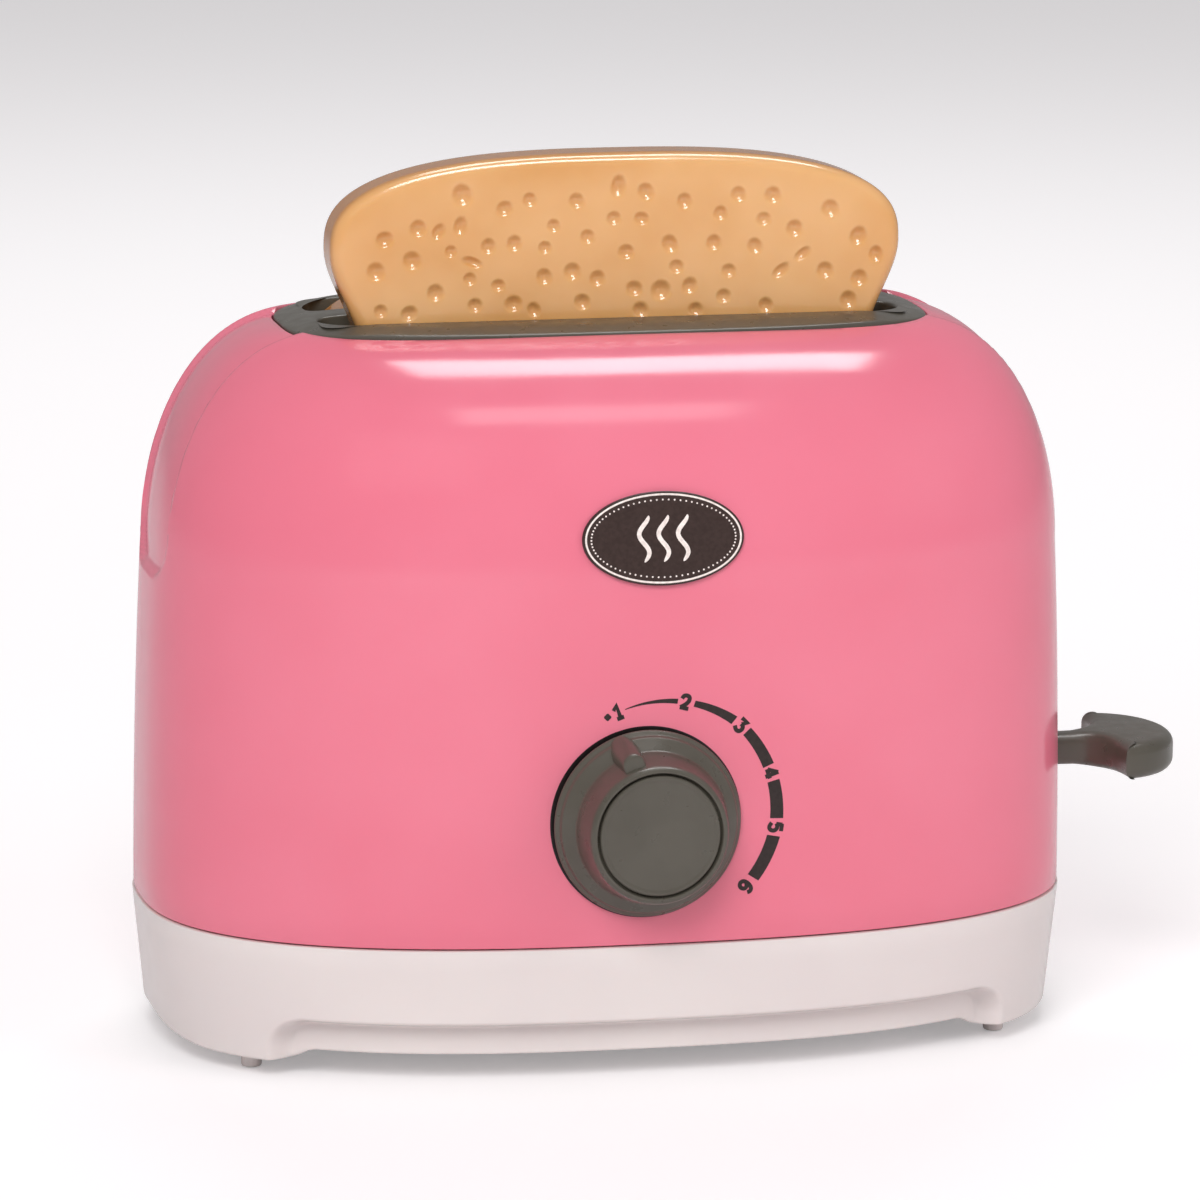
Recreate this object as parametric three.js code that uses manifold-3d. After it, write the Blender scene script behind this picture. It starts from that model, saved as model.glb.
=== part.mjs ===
// Toy pop-up toaster: a glossy shell on a pale base, two slots with moulded slices of bread,
// a lever at one end and a clockwork dial in front.
// Millimetres, +Z up, +X towards the lever, -Y towards the dial. The feet stand on z = 0.

import * as THREE from 'three';
import { mergeVertices } from 'three/addons/utils/BufferGeometryUtils.js';
import Module from 'manifold-3d';

const wasm = await Module();
wasm.setup();

// Clearances, and the overrun that takes a cutter past a face
const gap = 0.3;
const slidingGap = 0.7;
const overrun = 4;

// How finely round things are cut
const outlineSteps = 48;
const shoulderSteps = 7;
const sideSteps = 2;
const roundSteps = 20;
const smallSteps = 8;
const cornerSteps = 4;
const paddleSteps = 16;

// Body seen from above, at the seam between shell and base
const bodyHalfLength = 87.1;
const bodyHalfDepth = 54.3;
const bodyPower = 2.57;

// Heights above the ground
const baseHeight = 26.1;
const shoulderHeight = 92;
const shellHeight = 135;

// Shell
const shellWall = 2.4;
const sideLean = 1.5;
const shoulderRunX = 26;
const shoulderRunY = 29;
const tongueHalfWidth = 15;
const tongueRadius = 9;
const tongueDepth = 1.2;
const tongueRise = 12;
const postInsetX = 25.1;
const postInsetY = 24.3;
const postRadius = 4;

// Base
const baseLip = 0.25;
const baseTaper = 2.3;
const baseWall = 2.4;
const floorThickness = 2.4;
const registerHeight = 3.4;
const registerWall = 1.6;
const footHeight = 3.3;
const footRadius = 1.9;
const footInsetX = 16.4;
const footInsetY = 27.5;
const footStubRadius = 1.2;
const footStubHeight = 2.6;
const plinthClearance = 1.9;
const coveHeight = 6.1;
const coveDepth = 4;
const endLength = 22.6;
const endCurveHeight = 3.5;
const endCurveRun = 3.4;
const endSlant = 0.8;
const archHalfWidth = 24.5;

// Screws
const screwRadius = 1.5;
const screwHeadRadius = 3;
const screwHeadHeight = 2;
const screwBite = 10;
const screwBossWall = 1.1;
const screwBossHeight = 4.4;

// Slot insert and liners
const insertEndMargin = 26.5;
const insertSideMargin = 27;
const insertPower = 3.3;
const insertEndRim = 6;
const insertSideRim = 11.3;
const insertProud = 0.8;
const insertEdgeDrop = 1.1;
const insertBandDrop = 0.5;
const insertBandWidth = 2;
const insertDeckInset = 5.5;
const insertPlate = 3.4;
const insertSkirt = 1.4;
const insertSkirtDrop = 3.1;
const ledgeWidth = 1.3;
const ledgeHeight = 2.5;
const collarWall = 1.6;
const slotSeptum = 7.2;
const slotRadius = 3;
const linerWall = 1.1;
const linerLength = 52;

// Slices of bread
const sliceSideClearance = 0.8;
const sliceEndClearance = 1;
const sliceHeight = 96;
const crownHeight = 17.5;
const crownPower = 2.7;
const crownSteps = 30;
const neckDepth = 5.6;
const neckDrop = 18;
const sliceCornerRadius = 6;
const sliceRounding = 2.4;

// Carriage that lifts the slices
const carriageHeight = 40;
const carriageTravel = 25;
const carriageThickness = 3;
const carriageInset = 4.6;
const carriageRim = 1.7;
const frontRibHeight = 26.7;
const rearRibHeight = 2.7;
const ribInset = 10;
const ribThickness = 7;

// Guide rods, bushes and return springs
const rodRadius = 2;
const rodInset = 6;
const rodSocketDepth = 1.8;
const rodBossRadius = 6;
const rodBossHeight = 2.4;
const bushRadius = 3.4;
const bushLength = 8;
const bushFlangeRadius = 6;
const bushFlange = 2;
const springRadius = 4.5;
const springWire = 1.1;
const springCurls = 6;
const curlSteps = 8;
const wireSides = 5;

// Lever
const leverArmHalfWidth = 2.9;
const leverArmHeight = 6;
const leverArmRise = 4.5;
const leverRiserLength = 6;
const leverRiserGap = 8;
const leverRiserHalfWidth = 6;
const leverTongueHalfWidth = 1.5;
const leverTongueHeight = 2.6;
const leverTongueLength = 10;
const leverStemInside = 6;
const leverStemOutside = 5.5;
const paddleLength = 19.5;
const paddleHalfWidth = 15.5;
const paddleThickness = 7;
const paddleRounding = 1.6;

// Detent that holds the carriage down
const detentThickness = 1;
const detentWidth = 8;
const detentBump = 2;

// Dial
const dialX = -2.8;
const dialHeight = 49.3;
const skirtRadius = 17.4;
const skirtGap = 0.5;
const skirtThickness = 1.4;
const stepRadius = 15.6;
const stepRise = 3.4;
const knobFootRadius = 13.6;
const knobRadius = 12.5;
const dialProtrusion = 12;
const knobEdge = 0.7;
const capRadius = 11;
const capThickness = 1.2;
const pointerAngle = 19;
const pointerHalfWidth = 2.5;
const pointerReach = 16.6;
const pointerDrop = 3;
const shaftRadius = 3;
const shaftHoleGap = 1;
const shaftCover = 4;

// Clockwork behind the dial
const timerRoom = 8.9;
const timerSetback = 8.2;
const plateThickness = 1.5;
const plateLeft = 29;
const plateRight = 38.5;
const plateBottom = 16;
const plateTop = 72;
const plateRadius = 5;
const pillarRadius = 2.4;
const pillarInset = 4.4;
const gearModule = 1.2;
const driveTeeth = 30;
const wheelTeeth = 22;
const pinionTeeth = 8;
const gearThickness = 2.2;
const gearLayerGap = 0.6;
const arborRadius = 1.2;
const wheelAngle = -20;
const fanAngle = -30;
const fanRadius = 9;
const fanHubRadius = 2.6;
const fanLengthShare = 0.55;
const fanBlade = 1;
const mainspringInner = 4.4;
const mainspringPitch = 2.2;
const mainspringTurns = 5;
const mainspringStrip = 0.7;
const mainspringWidthShare = 0.65;
const mainspringSteps = 14;
const timerScrewInset = 5;
const timerScrewRadius = 1.3;
const timerScrewHead = 2.5;
const timerBossRadius = 3.3;

// Kicker on the dial's shaft, and the tab that it lifts
const kickerReach = 16;
const kickerHalfWidth = 2;
const kickerThickness = 2.4;
const kickerHubRadius = 5.4;
const kickerSetback = 4;
const tabHalfLength = 3;
const tabThickness = 2.2;
const tabReach = 1.4;

// Badge
const badgeHalfLength = 15;
const badgeHalfHeight = 8.6;
const badgeThickness = 1.4;
const badgeProud = 0.5;
const badgeHeight = 101.2;
const badgeTilt = 8.5;

// Places that follow from the sizes
const seamHeight = baseHeight + gap;
const plinthBottom = footHeight + plinthClearance;
const coveTop = plinthBottom + coveHeight;
const floorTop = plinthBottom + floorThickness;
const insertTop = shellHeight + insertProud;
const insertUnderside = insertTop - insertPlate;
const ledgeTop = insertUnderside - insertSkirtDrop - gap;
const linerTop = insertUnderside - gap;
const postX = bodyHalfLength - postInsetX;
const postY = bodyHalfDepth - postInsetY;
const footX = bodyHalfLength - footInsetX;
const footY = bodyHalfDepth - footInsetY;
const endX = bodyHalfLength - endLength;
const insertHalfLength = bodyHalfLength - insertEndMargin;
const insertHalfDepth = bodyHalfDepth - insertSideMargin;
const slotHalfLength = insertHalfLength - insertEndRim;
const slotHalfWidth = (insertHalfDepth - insertSideRim - slotSeptum / 2) / 2;
const slotY = slotSeptum / 2 + slotHalfWidth;
const sliceThickness = 2 * (slotHalfWidth - sliceSideClearance);
const crownHalfWidth = slotHalfLength - sliceEndClearance;
const sideHalfWidth = crownHalfWidth - neckDepth;
const carriageHalfLength = slotHalfLength - carriageInset;
const carriageHalfDepth = slotY + ribThickness / 2 + carriageRim;
const ribHalfLength = carriageHalfLength - ribInset;
const rodX = carriageHalfLength - rodInset;
const leverRiserX = carriageHalfLength + leverRiserGap;
const carriageTop = carriageHeight + carriageThickness;
const frontSliceBottom = carriageTop + frontRibHeight + gap;
const rearSliceBottom = carriageTop + rearRibHeight + gap;
const leverBottom = carriageHeight + leverArmRise;
const leverMiddle = leverBottom + leverArmHeight / 2;
const shellFrontY = -(bodyHalfDepth - leanAt(dialHeight));
const skirtBackY = shellFrontY - skirtGap;
const dialFrontY = shellFrontY - dialProtrusion;
const timerFrontY = shellFrontY + timerSetback;
const timerBackY = -carriageHalfDepth - timerRoom;
const postBottom = floorTop + screwBossHeight + gap;

const materials = {
  shell: new THREE.MeshStandardMaterial({ color: '#f4798f', roughness: 0.2 }),
  base: new THREE.MeshStandardMaterial({ color: '#ece6e2', roughness: 0.25 }),
  grey: new THREE.MeshStandardMaterial({ color: '#5f5c55', roughness: 0.45 }),
  bread: new THREE.MeshStandardMaterial({ color: '#e0a868', roughness: 0.35 }),
  badge: new THREE.MeshStandardMaterial({ color: '#3a2825', roughness: 0.3 }),
  acetal: new THREE.MeshStandardMaterial({ color: '#f0efe6', roughness: 0.5 }),
  steel: new THREE.MeshStandardMaterial({ color: '#b4b7ba', roughness: 0.3, metalness: 1 }),
  spring: new THREE.MeshStandardMaterial({ color: '#8f9296', roughness: 0.35, metalness: 1 }),
  foot: new THREE.MeshStandardMaterial({ color: '#e2dad7', roughness: 0.5 }),
};

const toaster = new THREE.Group();

function add(name, material, solid) {
  const mesh = new THREE.Mesh(toGeometry(solid), material);
  mesh.name = name;
  toaster.add(mesh);
  return mesh;
}

// Geometry to solid and back

function toSolid(geometry) {
  const bare = geometry.clone();
  bare.deleteAttribute('normal');
  bare.deleteAttribute('uv');
  const merged = mergeVertices(bare, 1e-5);
  const vertProperties = new Float32Array(merged.attributes.position.array);
  const triVerts = new Uint32Array(merged.index.array);
  return new wasm.Manifold(new wasm.Mesh({ numProp: 3, vertProperties, triVerts }));
}

function toGeometry(solid) {
  const mesh = solid.getMesh();
  const geometry = new THREE.BufferGeometry();
  geometry.setAttribute('position', new THREE.BufferAttribute(new Float32Array(mesh.vertProperties), 3));
  geometry.setIndex(new THREE.BufferAttribute(new Uint32Array(mesh.triVerts), 1));
  geometry.computeVertexNormals();
  return geometry;
}

function join(solids) {
  return solids.reduce((whole, piece) => whole.add(piece));
}

// A closed skin over rings with equal counts of points, each ring convex and seen anticlockwise from its end
function loft(rings) {
  const count = rings[0].length;
  const top = (rings.length - 1) * count;
  const index = [];
  for (let ring = 0; ring < top; ring += count) {
    for (let i = 0; i < count; i++) {
      const next = (i + 1) % count;
      index.push(ring + i, ring + next, ring + count + next);
      index.push(ring + i, ring + count + next, ring + count + i);
    }
  }
  for (let i = 1; i + 1 < count; i++) {
    index.push(0, i + 1, i);
    index.push(top, top + i, top + i + 1);
  }
  const geometry = new THREE.BufferGeometry();
  geometry.setFromPoints(rings.flat());
  geometry.setIndex(index);
  return toSolid(geometry);
}

// Simple solids

function box(x, y, z) {
  const geometry = new THREE.BoxGeometry(x[1] - x[0], y[1] - y[0], z[1] - z[0]);
  geometry.translate((x[0] + x[1]) / 2, (y[0] + y[1]) / 2, (z[0] + z[1]) / 2);
  return toSolid(geometry);
}

function roundZ(radius, x, y, z, steps = smallSteps) {
  const geometry = new THREE.CylinderGeometry(radius, radius, z[1] - z[0], steps);
  geometry.rotateX(Math.PI / 2);
  geometry.translate(x, y, (z[0] + z[1]) / 2);
  return toSolid(geometry);
}

function roundY(radius, x, y, z, steps = smallSteps) {
  const geometry = new THREE.CylinderGeometry(radius, radius, y[1] - y[0], steps);
  geometry.translate(x, (y[0] + y[1]) / 2, z);
  return toSolid(geometry);
}

// A shape drawn in X and Y, raised from one height to another
function raise(shape, z, curveSegments = cornerSteps) {
  const geometry = new THREE.ExtrudeGeometry(shape, { depth: z[1] - z[0], bevelEnabled: false, curveSegments });
  geometry.translate(0, 0, z[0]);
  return toSolid(geometry);
}

// A shape drawn in X and Z, pushed from one Y to another
function push(shape, y, curveSegments = cornerSteps) {
  const geometry = new THREE.ExtrudeGeometry(shape, { depth: y[1] - y[0], bevelEnabled: false, curveSegments });
  geometry.rotateX(Math.PI / 2);
  geometry.translate(0, y[1], 0);
  return toSolid(geometry);
}

function roundedBox(left, right, bottom, top, radius) {
  const shape = new THREE.Shape();
  shape.moveTo(left + radius, bottom);
  shape.lineTo(right - radius, bottom);
  shape.absarc(right - radius, bottom + radius, radius, -Math.PI / 2, 0);
  shape.lineTo(right, top - radius);
  shape.absarc(right - radius, top - radius, radius, 0, Math.PI / 2);
  shape.lineTo(left + radius, top);
  shape.absarc(left + radius, top - radius, radius, Math.PI / 2, Math.PI);
  shape.lineTo(left, bottom + radius);
  shape.absarc(left + radius, bottom + radius, radius, Math.PI, 1.5 * Math.PI);
  return shape;
}

function roundedPlan(halfLength, halfDepth, radius, y = 0) {
  return roundedBox(-halfLength, halfLength, y - halfDepth, y + halfDepth, radius);
}

// The body's outline and its outer skin

function outline(halfLength, halfDepth, height, power = bodyPower) {
  const points = [];
  for (let i = 0; i < outlineSteps; i++) {
    const [x, y] = superellipse(halfLength, halfDepth, power, (2 * Math.PI * i) / outlineSteps);
    points.push(new THREE.Vector3(x, y, height));
  }
  return points;
}

function superellipse(halfWidth, halfHeight, power, angle) {
  const c = Math.cos(angle);
  const s = Math.sin(angle);
  return [
    halfWidth * Math.sign(c) * Math.abs(c) ** (2 / power),
    halfHeight * Math.sign(s) * Math.abs(s) ** (2 / power),
  ];
}

function leanAt(height) {
  const share = Math.max(height - baseHeight, 0) / (shoulderHeight - baseHeight);
  return sideLean * Math.min(share, 1) ** 2;
}

function bodyLoft(inset, bottom) {
  const rings = [];
  for (let i = 0; i < sideSteps; i++) {
    const height = bottom + ((shoulderHeight - bottom) * i) / sideSteps;
    const drawnIn = inset + leanAt(height);
    rings.push(outline(bodyHalfLength - drawnIn, bodyHalfDepth - drawnIn, height));
  }
  for (let i = 0; i <= shoulderSteps; i++) {
    const angle = (Math.PI / 2 * i) / shoulderSteps;
    const flatX = bodyHalfLength - sideLean - shoulderRunX;
    const flatY = bodyHalfDepth - sideLean - shoulderRunY;
    const x = flatX + (shoulderRunX - inset) * Math.cos(angle);
    const y = flatY + (shoulderRunY - inset) * Math.cos(angle);
    const height = shoulderHeight + (shellHeight - shoulderHeight - inset) * Math.sin(angle);
    rings.push(outline(x, y, height));
  }
  return loft(rings);
}

function corners(place) {
  return [[1, -1], [-1, -1], [-1, 1], [1, 1]].map(([sideX, sideY]) => place(sideX, sideY));
}

// Shell

function tongueCutters() {
  const bottom = leverSlotTop() + tongueRise;
  const shape = roundedBox(-tongueHalfWidth, tongueHalfWidth, bottom, shellHeight + overrun, tongueRadius);
  const side = toSolid(sideways(shape, insertHalfLength, bodyHalfLength + overrun));
  const mirrored = toSolid(sideways(shape, -bodyHalfLength - overrun, -insertHalfLength));
  return side.add(mirrored).subtract(bodyLoft(tongueDepth, seamHeight));
}

// A shape drawn in Y and Z, pushed along X
function sideways(shape, from, to, curveSegments = cornerSteps) {
  const options = { depth: to - from, bevelEnabled: false, curveSegments };
  const geometry = new THREE.ExtrudeGeometry(shape, options);
  geometry.rotateX(Math.PI / 2);
  geometry.rotateZ(Math.PI / 2);
  geometry.translate(from, 0, 0);
  return geometry;
}

function leverSlotTop() {
  return leverBottom + leverArmHeight + carriageTravel + slidingGap;
}

// Ring of the slot plate's outline, drawn in from its edge
function insertRing(inset, height) {
  return outline(insertHalfLength - inset, insertHalfDepth - inset, height, insertPower);
}

function insertSolid(inset, z) {
  return loft(z.map((height) => insertRing(inset, height)));
}

function insertCollar() {
  return insertSolid(-gap - collarWall, [ledgeTop - ledgeHeight, shellHeight]);
}

function insertOpening() {
  const top = insertTop + overrun;
  const seat = insertSolid(-gap, [ledgeTop, top]);
  return seat.add(insertSolid(ledgeWidth, [ledgeTop - ledgeHeight - overrun, top]));
}

function timerBoss(x, z) {
  return roundY(timerBossRadius, x, [-bodyHalfDepth, timerFrontY - gap], z);
}

function badgeSolid(grow, back, front) {
  const shape = new THREE.Shape();
  shape.absellipse(0, 0, badgeHalfLength + grow, badgeHalfHeight + grow, 0, 2 * Math.PI);
  const options = { depth: front - back, bevelEnabled: false, curveSegments: roundSteps };
  const geometry = new THREE.ExtrudeGeometry(shape, options);
  geometry.translate(0, 0, back);
  geometry.rotateX(Math.PI / 2 - THREE.MathUtils.degToRad(badgeTilt));
  geometry.translate(0, badgeY(), badgeHeight);
  return toSolid(geometry);
}

// Y of the shell's front on the middle line at the badge's height
function badgeY() {
  const share = (badgeHeight - shoulderHeight) / (shellHeight - shoulderHeight);
  return -(bodyHalfDepth - sideLean - shoulderRunY * (1 - Math.sqrt(1 - share * share)));
}

function makeShell() {
  const outer = bodyLoft(0, seamHeight);
  const posts = corners((sx, sy) => roundZ(postRadius, sx * postX, sy * postY, [postBottom, shellHeight]));
  const bosses = timerScrewPlaces().map(([x, z]) => timerBoss(x, z));
  const innards = join([insertCollar(), ...bosses]).intersect(outer);
  const hollow = outer.subtract(bodyLoft(shellWall, seamHeight - overrun));
  const postTops = join(posts).intersect(bodyLoft(shellWall / 2, postBottom - overrun));
  let shell = join([hollow, innards, postTops]).subtract(insertOpening()).subtract(tongueCutters());
  const pilots = corners((sx, sy) => {
    const z = [postBottom - overrun, postBottom + screwBite + gap];
    return roundZ(screwRadius + gap, sx * postX, sy * postY, z);
  });
  const timerPilots = timerScrewPlaces().map(([x, z]) => {
    const y = [timerFrontY - timerSetback + shellWall, timerFrontY + overrun];
    return roundY(timerScrewRadius + gap, x, y, z);
  });
  const slotHalf = leverArmHalfWidth + slidingGap;
  const leverSlot = box(
    [bodyHalfLength - overrun - sideLean - shellWall, bodyHalfLength + overrun],
    [-slotHalf, slotHalf], [leverBottom - slidingGap, leverSlotTop()]);
  const shaftHole = roundY(
    shaftRadius + shaftHoleGap, dialX, [dialFrontY, timerFrontY], dialHeight, roundSteps);
  const pocket = badgeSolid(gap, -(badgeThickness - badgeProud), overrun);
  return shell.subtract(join([...pilots, ...timerPilots, leverSlot, shaftHole, pocket]));
}

// Base

function baseSkin(inset, bottom, top) {
  const rings = [bottom, top].map((height) => {
    const taper = baseTaper * (baseHeight - height) / (baseHeight - footHeight);
    const drawnIn = inset + Math.max(taper, 0) - baseLip;
    return outline(bodyHalfLength - drawnIn, bodyHalfDepth - drawnIn, height);
  });
  return loft(rings);
}

// One end, standing lower than the plinth between the ends
function endBlock(side) {
  const farX = bodyHalfLength + overrun;
  const farY = bodyHalfDepth + overrun;
  const ring = (height, nearX) => {
    const points = [[nearX, -farY], [farX, -farY], [farX, farY], [nearX, farY]];
    const placed = points.map(([x, y]) => new THREE.Vector3(side * x, y, height));
    return side > 0 ? placed : placed.reverse();
  };
  return loft([
    ring(footHeight, endX + endCurveRun + endSlant),
    ring(coveTop - endCurveHeight, endX + endCurveRun),
    ring(coveTop, endX),
  ]);
}

// The gentle arch between the two corners of each end
function archCutter() {
  const shape = new THREE.Shape();
  shape.absellipse(0, footHeight, archHalfWidth, plinthBottom - footHeight, 0, 2 * Math.PI);
  const reach = bodyHalfLength + overrun;
  return toSolid(sideways(shape, -reach, reach, smallSteps));
}

function makeBase() {
  const shelfTop = coveTop + floorThickness;
  const band = baseSkin(0, coveTop, baseHeight);
  const plinth = baseSkin(coveDepth, plinthBottom, coveTop);
  const ends = endBlock(-1).add(endBlock(1)).subtract(archCutter()).intersect(baseSkin(0, footHeight, coveTop));
  const hollow = baseSkin(baseWall, shelfTop, baseHeight + overrun);
  const well = baseSkin(coveDepth + baseWall, floorTop, shelfTop);
  const registerInset = shellWall + gap + sideLean / 2;
  const register = baseSkin(registerInset, baseHeight - baseWall, baseHeight + registerHeight);
  const registerBore = baseSkin(
    registerInset + registerWall, baseHeight - baseWall - overrun, baseHeight + registerHeight + overrun);
  const lip = register.add(baseSkin(baseWall / 2, baseHeight - baseWall, baseHeight - baseWall / 2));
  const tub = join([band, plinth, ends]).subtract(hollow.add(well)).add(lip.subtract(registerBore));
  const bosses = corners((sx, sy) => {
    const z = [plinthBottom, floorTop + screwBossHeight];
    return roundZ(screwHeadRadius + gap + screwBossWall, sx * postX, sy * postY, z, roundSteps);
  });
  const rodBosses = [-rodX, rodX].map((x) => {
    return roundZ(rodBossRadius, x, 0, [floorTop - floorThickness / 2, floorTop + rodBossHeight], roundSteps);
  });
  const cuts = corners((sx, sy) => join([
    roundZ(screwRadius + gap, sx * postX, sy * postY, [plinthBottom - overrun, postBottom + overrun]),
    roundZ(screwHeadRadius + gap, sx * postX, sy * postY, [plinthBottom - overrun, screwHeadTop()], roundSteps),
    roundZ(footStubRadius + gap, sx * footX, sy * footY, [footHeight - overrun, footHeight + footStubHeight + gap]),
  ]));
  const sockets = [-rodX, rodX].map((x) => {
    const top = floorTop + rodBossHeight;
    return roundZ(rodRadius + gap, x, 0, [top - rodSocketDepth, top + overrun]);
  });
  return join([tub, ...bosses, ...rodBosses]).subtract(join([...cuts, ...sockets]));
}

function screwHeadTop() {
  return plinthBottom + gap + screwHeadHeight + gap;
}

function makeFoot(sideX, sideY) {
  const pad = roundZ(footRadius, sideX * footX, sideY * footY, [0, footHeight], roundSteps);
  const stub = roundZ(footStubRadius, sideX * footX, sideY * footY, [footHeight / 2, footHeight + footStubHeight]);
  return pad.add(stub);
}

function makeBaseScrew(sideX, sideY) {
  const x = sideX * postX;
  const y = sideY * postY;
  const headBottom = plinthBottom + gap;
  const head = roundZ(screwHeadRadius, x, y, [headBottom, headBottom + screwHeadHeight], roundSteps);
  const shank = roundZ(screwRadius, x, y, [headBottom + screwHeadHeight / 2, postBottom + screwBite]);
  return head.add(shank);
}

// Slot insert and liners

function makeInsert() {
  const outer = loft([
    insertRing(0, ledgeTop + gap),
    insertRing(0, insertTop - insertEdgeDrop),
    insertRing(insertBandWidth, insertTop - insertBandDrop),
    insertRing(insertDeckInset, insertTop),
  ]);
  const underside = insertSolid(insertSkirt, [ledgeTop - overrun, insertUnderside]);
  const slots = [-slotY, slotY].map((y) => {
    return raise(roundedPlan(slotHalfLength, slotHalfWidth, slotRadius, y), [ledgeTop, insertTop + overrun]);
  });
  return outer.subtract(join([underside, ...slots]));
}

function makeLiner(y) {
  const z = [linerTop - linerLength, linerTop];
  const outer = roundedPlan(
    slotHalfLength + linerWall, slotHalfWidth + linerWall, slotRadius + linerWall, y);
  const inner = roundedPlan(slotHalfLength, slotHalfWidth, slotRadius, y);
  return raise(outer, z).subtract(raise(inner, [z[0] - overrun, z[1] + overrun]));
}

// Slices of bread

function sliceShape() {
  const widest = sliceHeight - crownHeight;
  const neckHeight = widest - neckDrop;
  const bend = neckDrop / 2;
  const shape = new THREE.Shape();
  shape.moveTo(sliceCornerRadius - sideHalfWidth, 0);
  shape.lineTo(sideHalfWidth - sliceCornerRadius, 0);
  shape.absarc(sideHalfWidth - sliceCornerRadius, sliceCornerRadius, sliceCornerRadius, -Math.PI / 2, 0);
  shape.lineTo(sideHalfWidth, neckHeight);
  shape.bezierCurveTo(
    sideHalfWidth, neckHeight + bend, crownHalfWidth, widest - bend, crownHalfWidth, widest);
  for (let i = 1; i < crownSteps; i++) {
    const [x, z] = superellipse(crownHalfWidth, crownHeight, crownPower, (Math.PI * i) / crownSteps);
    shape.lineTo(x, widest + z);
  }
  shape.lineTo(-crownHalfWidth, widest);
  shape.bezierCurveTo(
    -crownHalfWidth, widest - bend, -sideHalfWidth, neckHeight + bend, -sideHalfWidth, neckHeight);
  shape.lineTo(-sideHalfWidth, sliceCornerRadius);
  shape.absarc(
    sliceCornerRadius - sideHalfWidth, sliceCornerRadius, sliceCornerRadius, Math.PI, 1.5 * Math.PI);
  return shape;
}

function makeSlice(y, bottom) {
  const geometry = new THREE.ExtrudeGeometry(sliceShape(), {
    depth: sliceThickness - 2 * sliceRounding,
    bevelSize: sliceRounding,
    bevelThickness: sliceRounding,
    bevelOffset: -sliceRounding,
    bevelSegments: 2,
    curveSegments: smallSteps,
  });
  geometry.rotateX(Math.PI / 2);
  geometry.translate(0, y + sliceThickness / 2 - sliceRounding, bottom);
  return toSolid(geometry);
}

// Carriage, its bushes, rods and springs

function makeCarriage() {
  const z = [carriageHeight, carriageTop];
  const plate = raise(roundedPlan(carriageHalfLength, carriageHalfDepth, sliceCornerRadius), z);
  const rib = (y, height) => box(
    [-ribHalfLength, ribHalfLength], [y - ribThickness / 2, y + ribThickness / 2],
    [carriageHeight, carriageTop + height]);
  const armX = leverStemStart() - gap;
  const riser = box(
    [leverRiserX, leverRiserX + leverRiserLength], [-leverRiserHalfWidth, leverRiserHalfWidth],
    [carriageHeight, leverBottom + leverArmHeight]);
  const bridge = box([carriageHalfLength / 2, leverRiserX + leverRiserLength / 2],
    [-leverRiserHalfWidth, leverRiserHalfWidth], z);
  const arm = box([leverRiserX, armX], [-leverArmHalfWidth, leverArmHalfWidth],
    [leverBottom, leverBottom + leverArmHeight]);
  const tongue = box([leverRiserX, armX + leverTongueLength], [-leverTongueHalfWidth, leverTongueHalfWidth],
    [leverMiddle - leverTongueHeight / 2, leverMiddle + leverTongueHeight / 2]);
  const holes = [-rodX, rodX].map((x) => {
    return roundZ(bushRadius + gap, x, 0, [carriageHeight - overrun, carriageTop + overrun], roundSteps);
  });
  const body = join([plate, rib(-slotY, frontRibHeight), rib(slotY, rearRibHeight), riser, bridge, arm, tongue]);
  return body.add(kickerTab()).subtract(join(holes));
}

function kickerTab() {
  const y = [kickerFrontY() - tabReach + kickerThickness, -slotY];
  const bottom = dialHeight + kickerHalfWidth + gap;
  const x = dialX + kickerReach - kickerHalfWidth;
  return box([x - tabHalfLength, x + tabHalfLength], y, [bottom, bottom + tabThickness]);
}

function makeBush(x) {
  const top = carriageTop + (bushLength - carriageThickness) / 2;
  const sleeve = roundZ(bushRadius, x, 0, [carriageHeight - gap, top], roundSteps);
  const flangeBottom = carriageHeight - gap - bushFlange;
  const flange = roundZ(bushFlangeRadius, x, 0, [flangeBottom, carriageHeight - gap], roundSteps);
  const bore = roundZ(rodRadius + gap, x, 0, [flangeBottom - overrun, top + overrun], roundSteps);
  return sleeve.add(flange).subtract(bore);
}

function makeRod(x) {
  const bottom = floorTop + rodBossHeight - rodSocketDepth + gap;
  return roundZ(rodRadius, x, 0, [bottom, insertUnderside - gap], roundSteps);
}

// A coil's tube: straight for one wire at each end, and a helix between
function makeSpring(x) {
  const bottom = floorTop + rodBossHeight + gap;
  const top = carriageHeight - gap - bushFlange - gap;
  const pitch = (top - bottom - 2 * springWire) / springCurls;
  const path = [new THREE.Vector3(springRadius, 0, bottom)];
  for (let i = 0; i <= springCurls * curlSteps; i++) {
    const angle = (2 * Math.PI * i) / curlSteps;
    const z = bottom + springWire + (pitch * i) / curlSteps;
    path.push(new THREE.Vector3(springRadius * Math.cos(angle), springRadius * Math.sin(angle), z));
  }
  path.push(new THREE.Vector3(path.at(-1).x, path.at(-1).y, top));
  console.log(`return spring: least gap between curls ${(pitch - springWire).toFixed(2)} mm`);
  const rings = path.map((point, i) => {
    const before = path[Math.max(i - 1, 0)];
    const after = path[Math.min(i + 1, path.length - 1)];
    const along = after.clone().sub(before).normalize();
    const outward = new THREE.Vector3(point.x, point.y, 0).normalize();
    const across = new THREE.Vector3().crossVectors(along, outward).normalize();
    return wireRing(point, outward, across);
  });
  return loft(rings).translate([x, 0, 0]);
}

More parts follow.
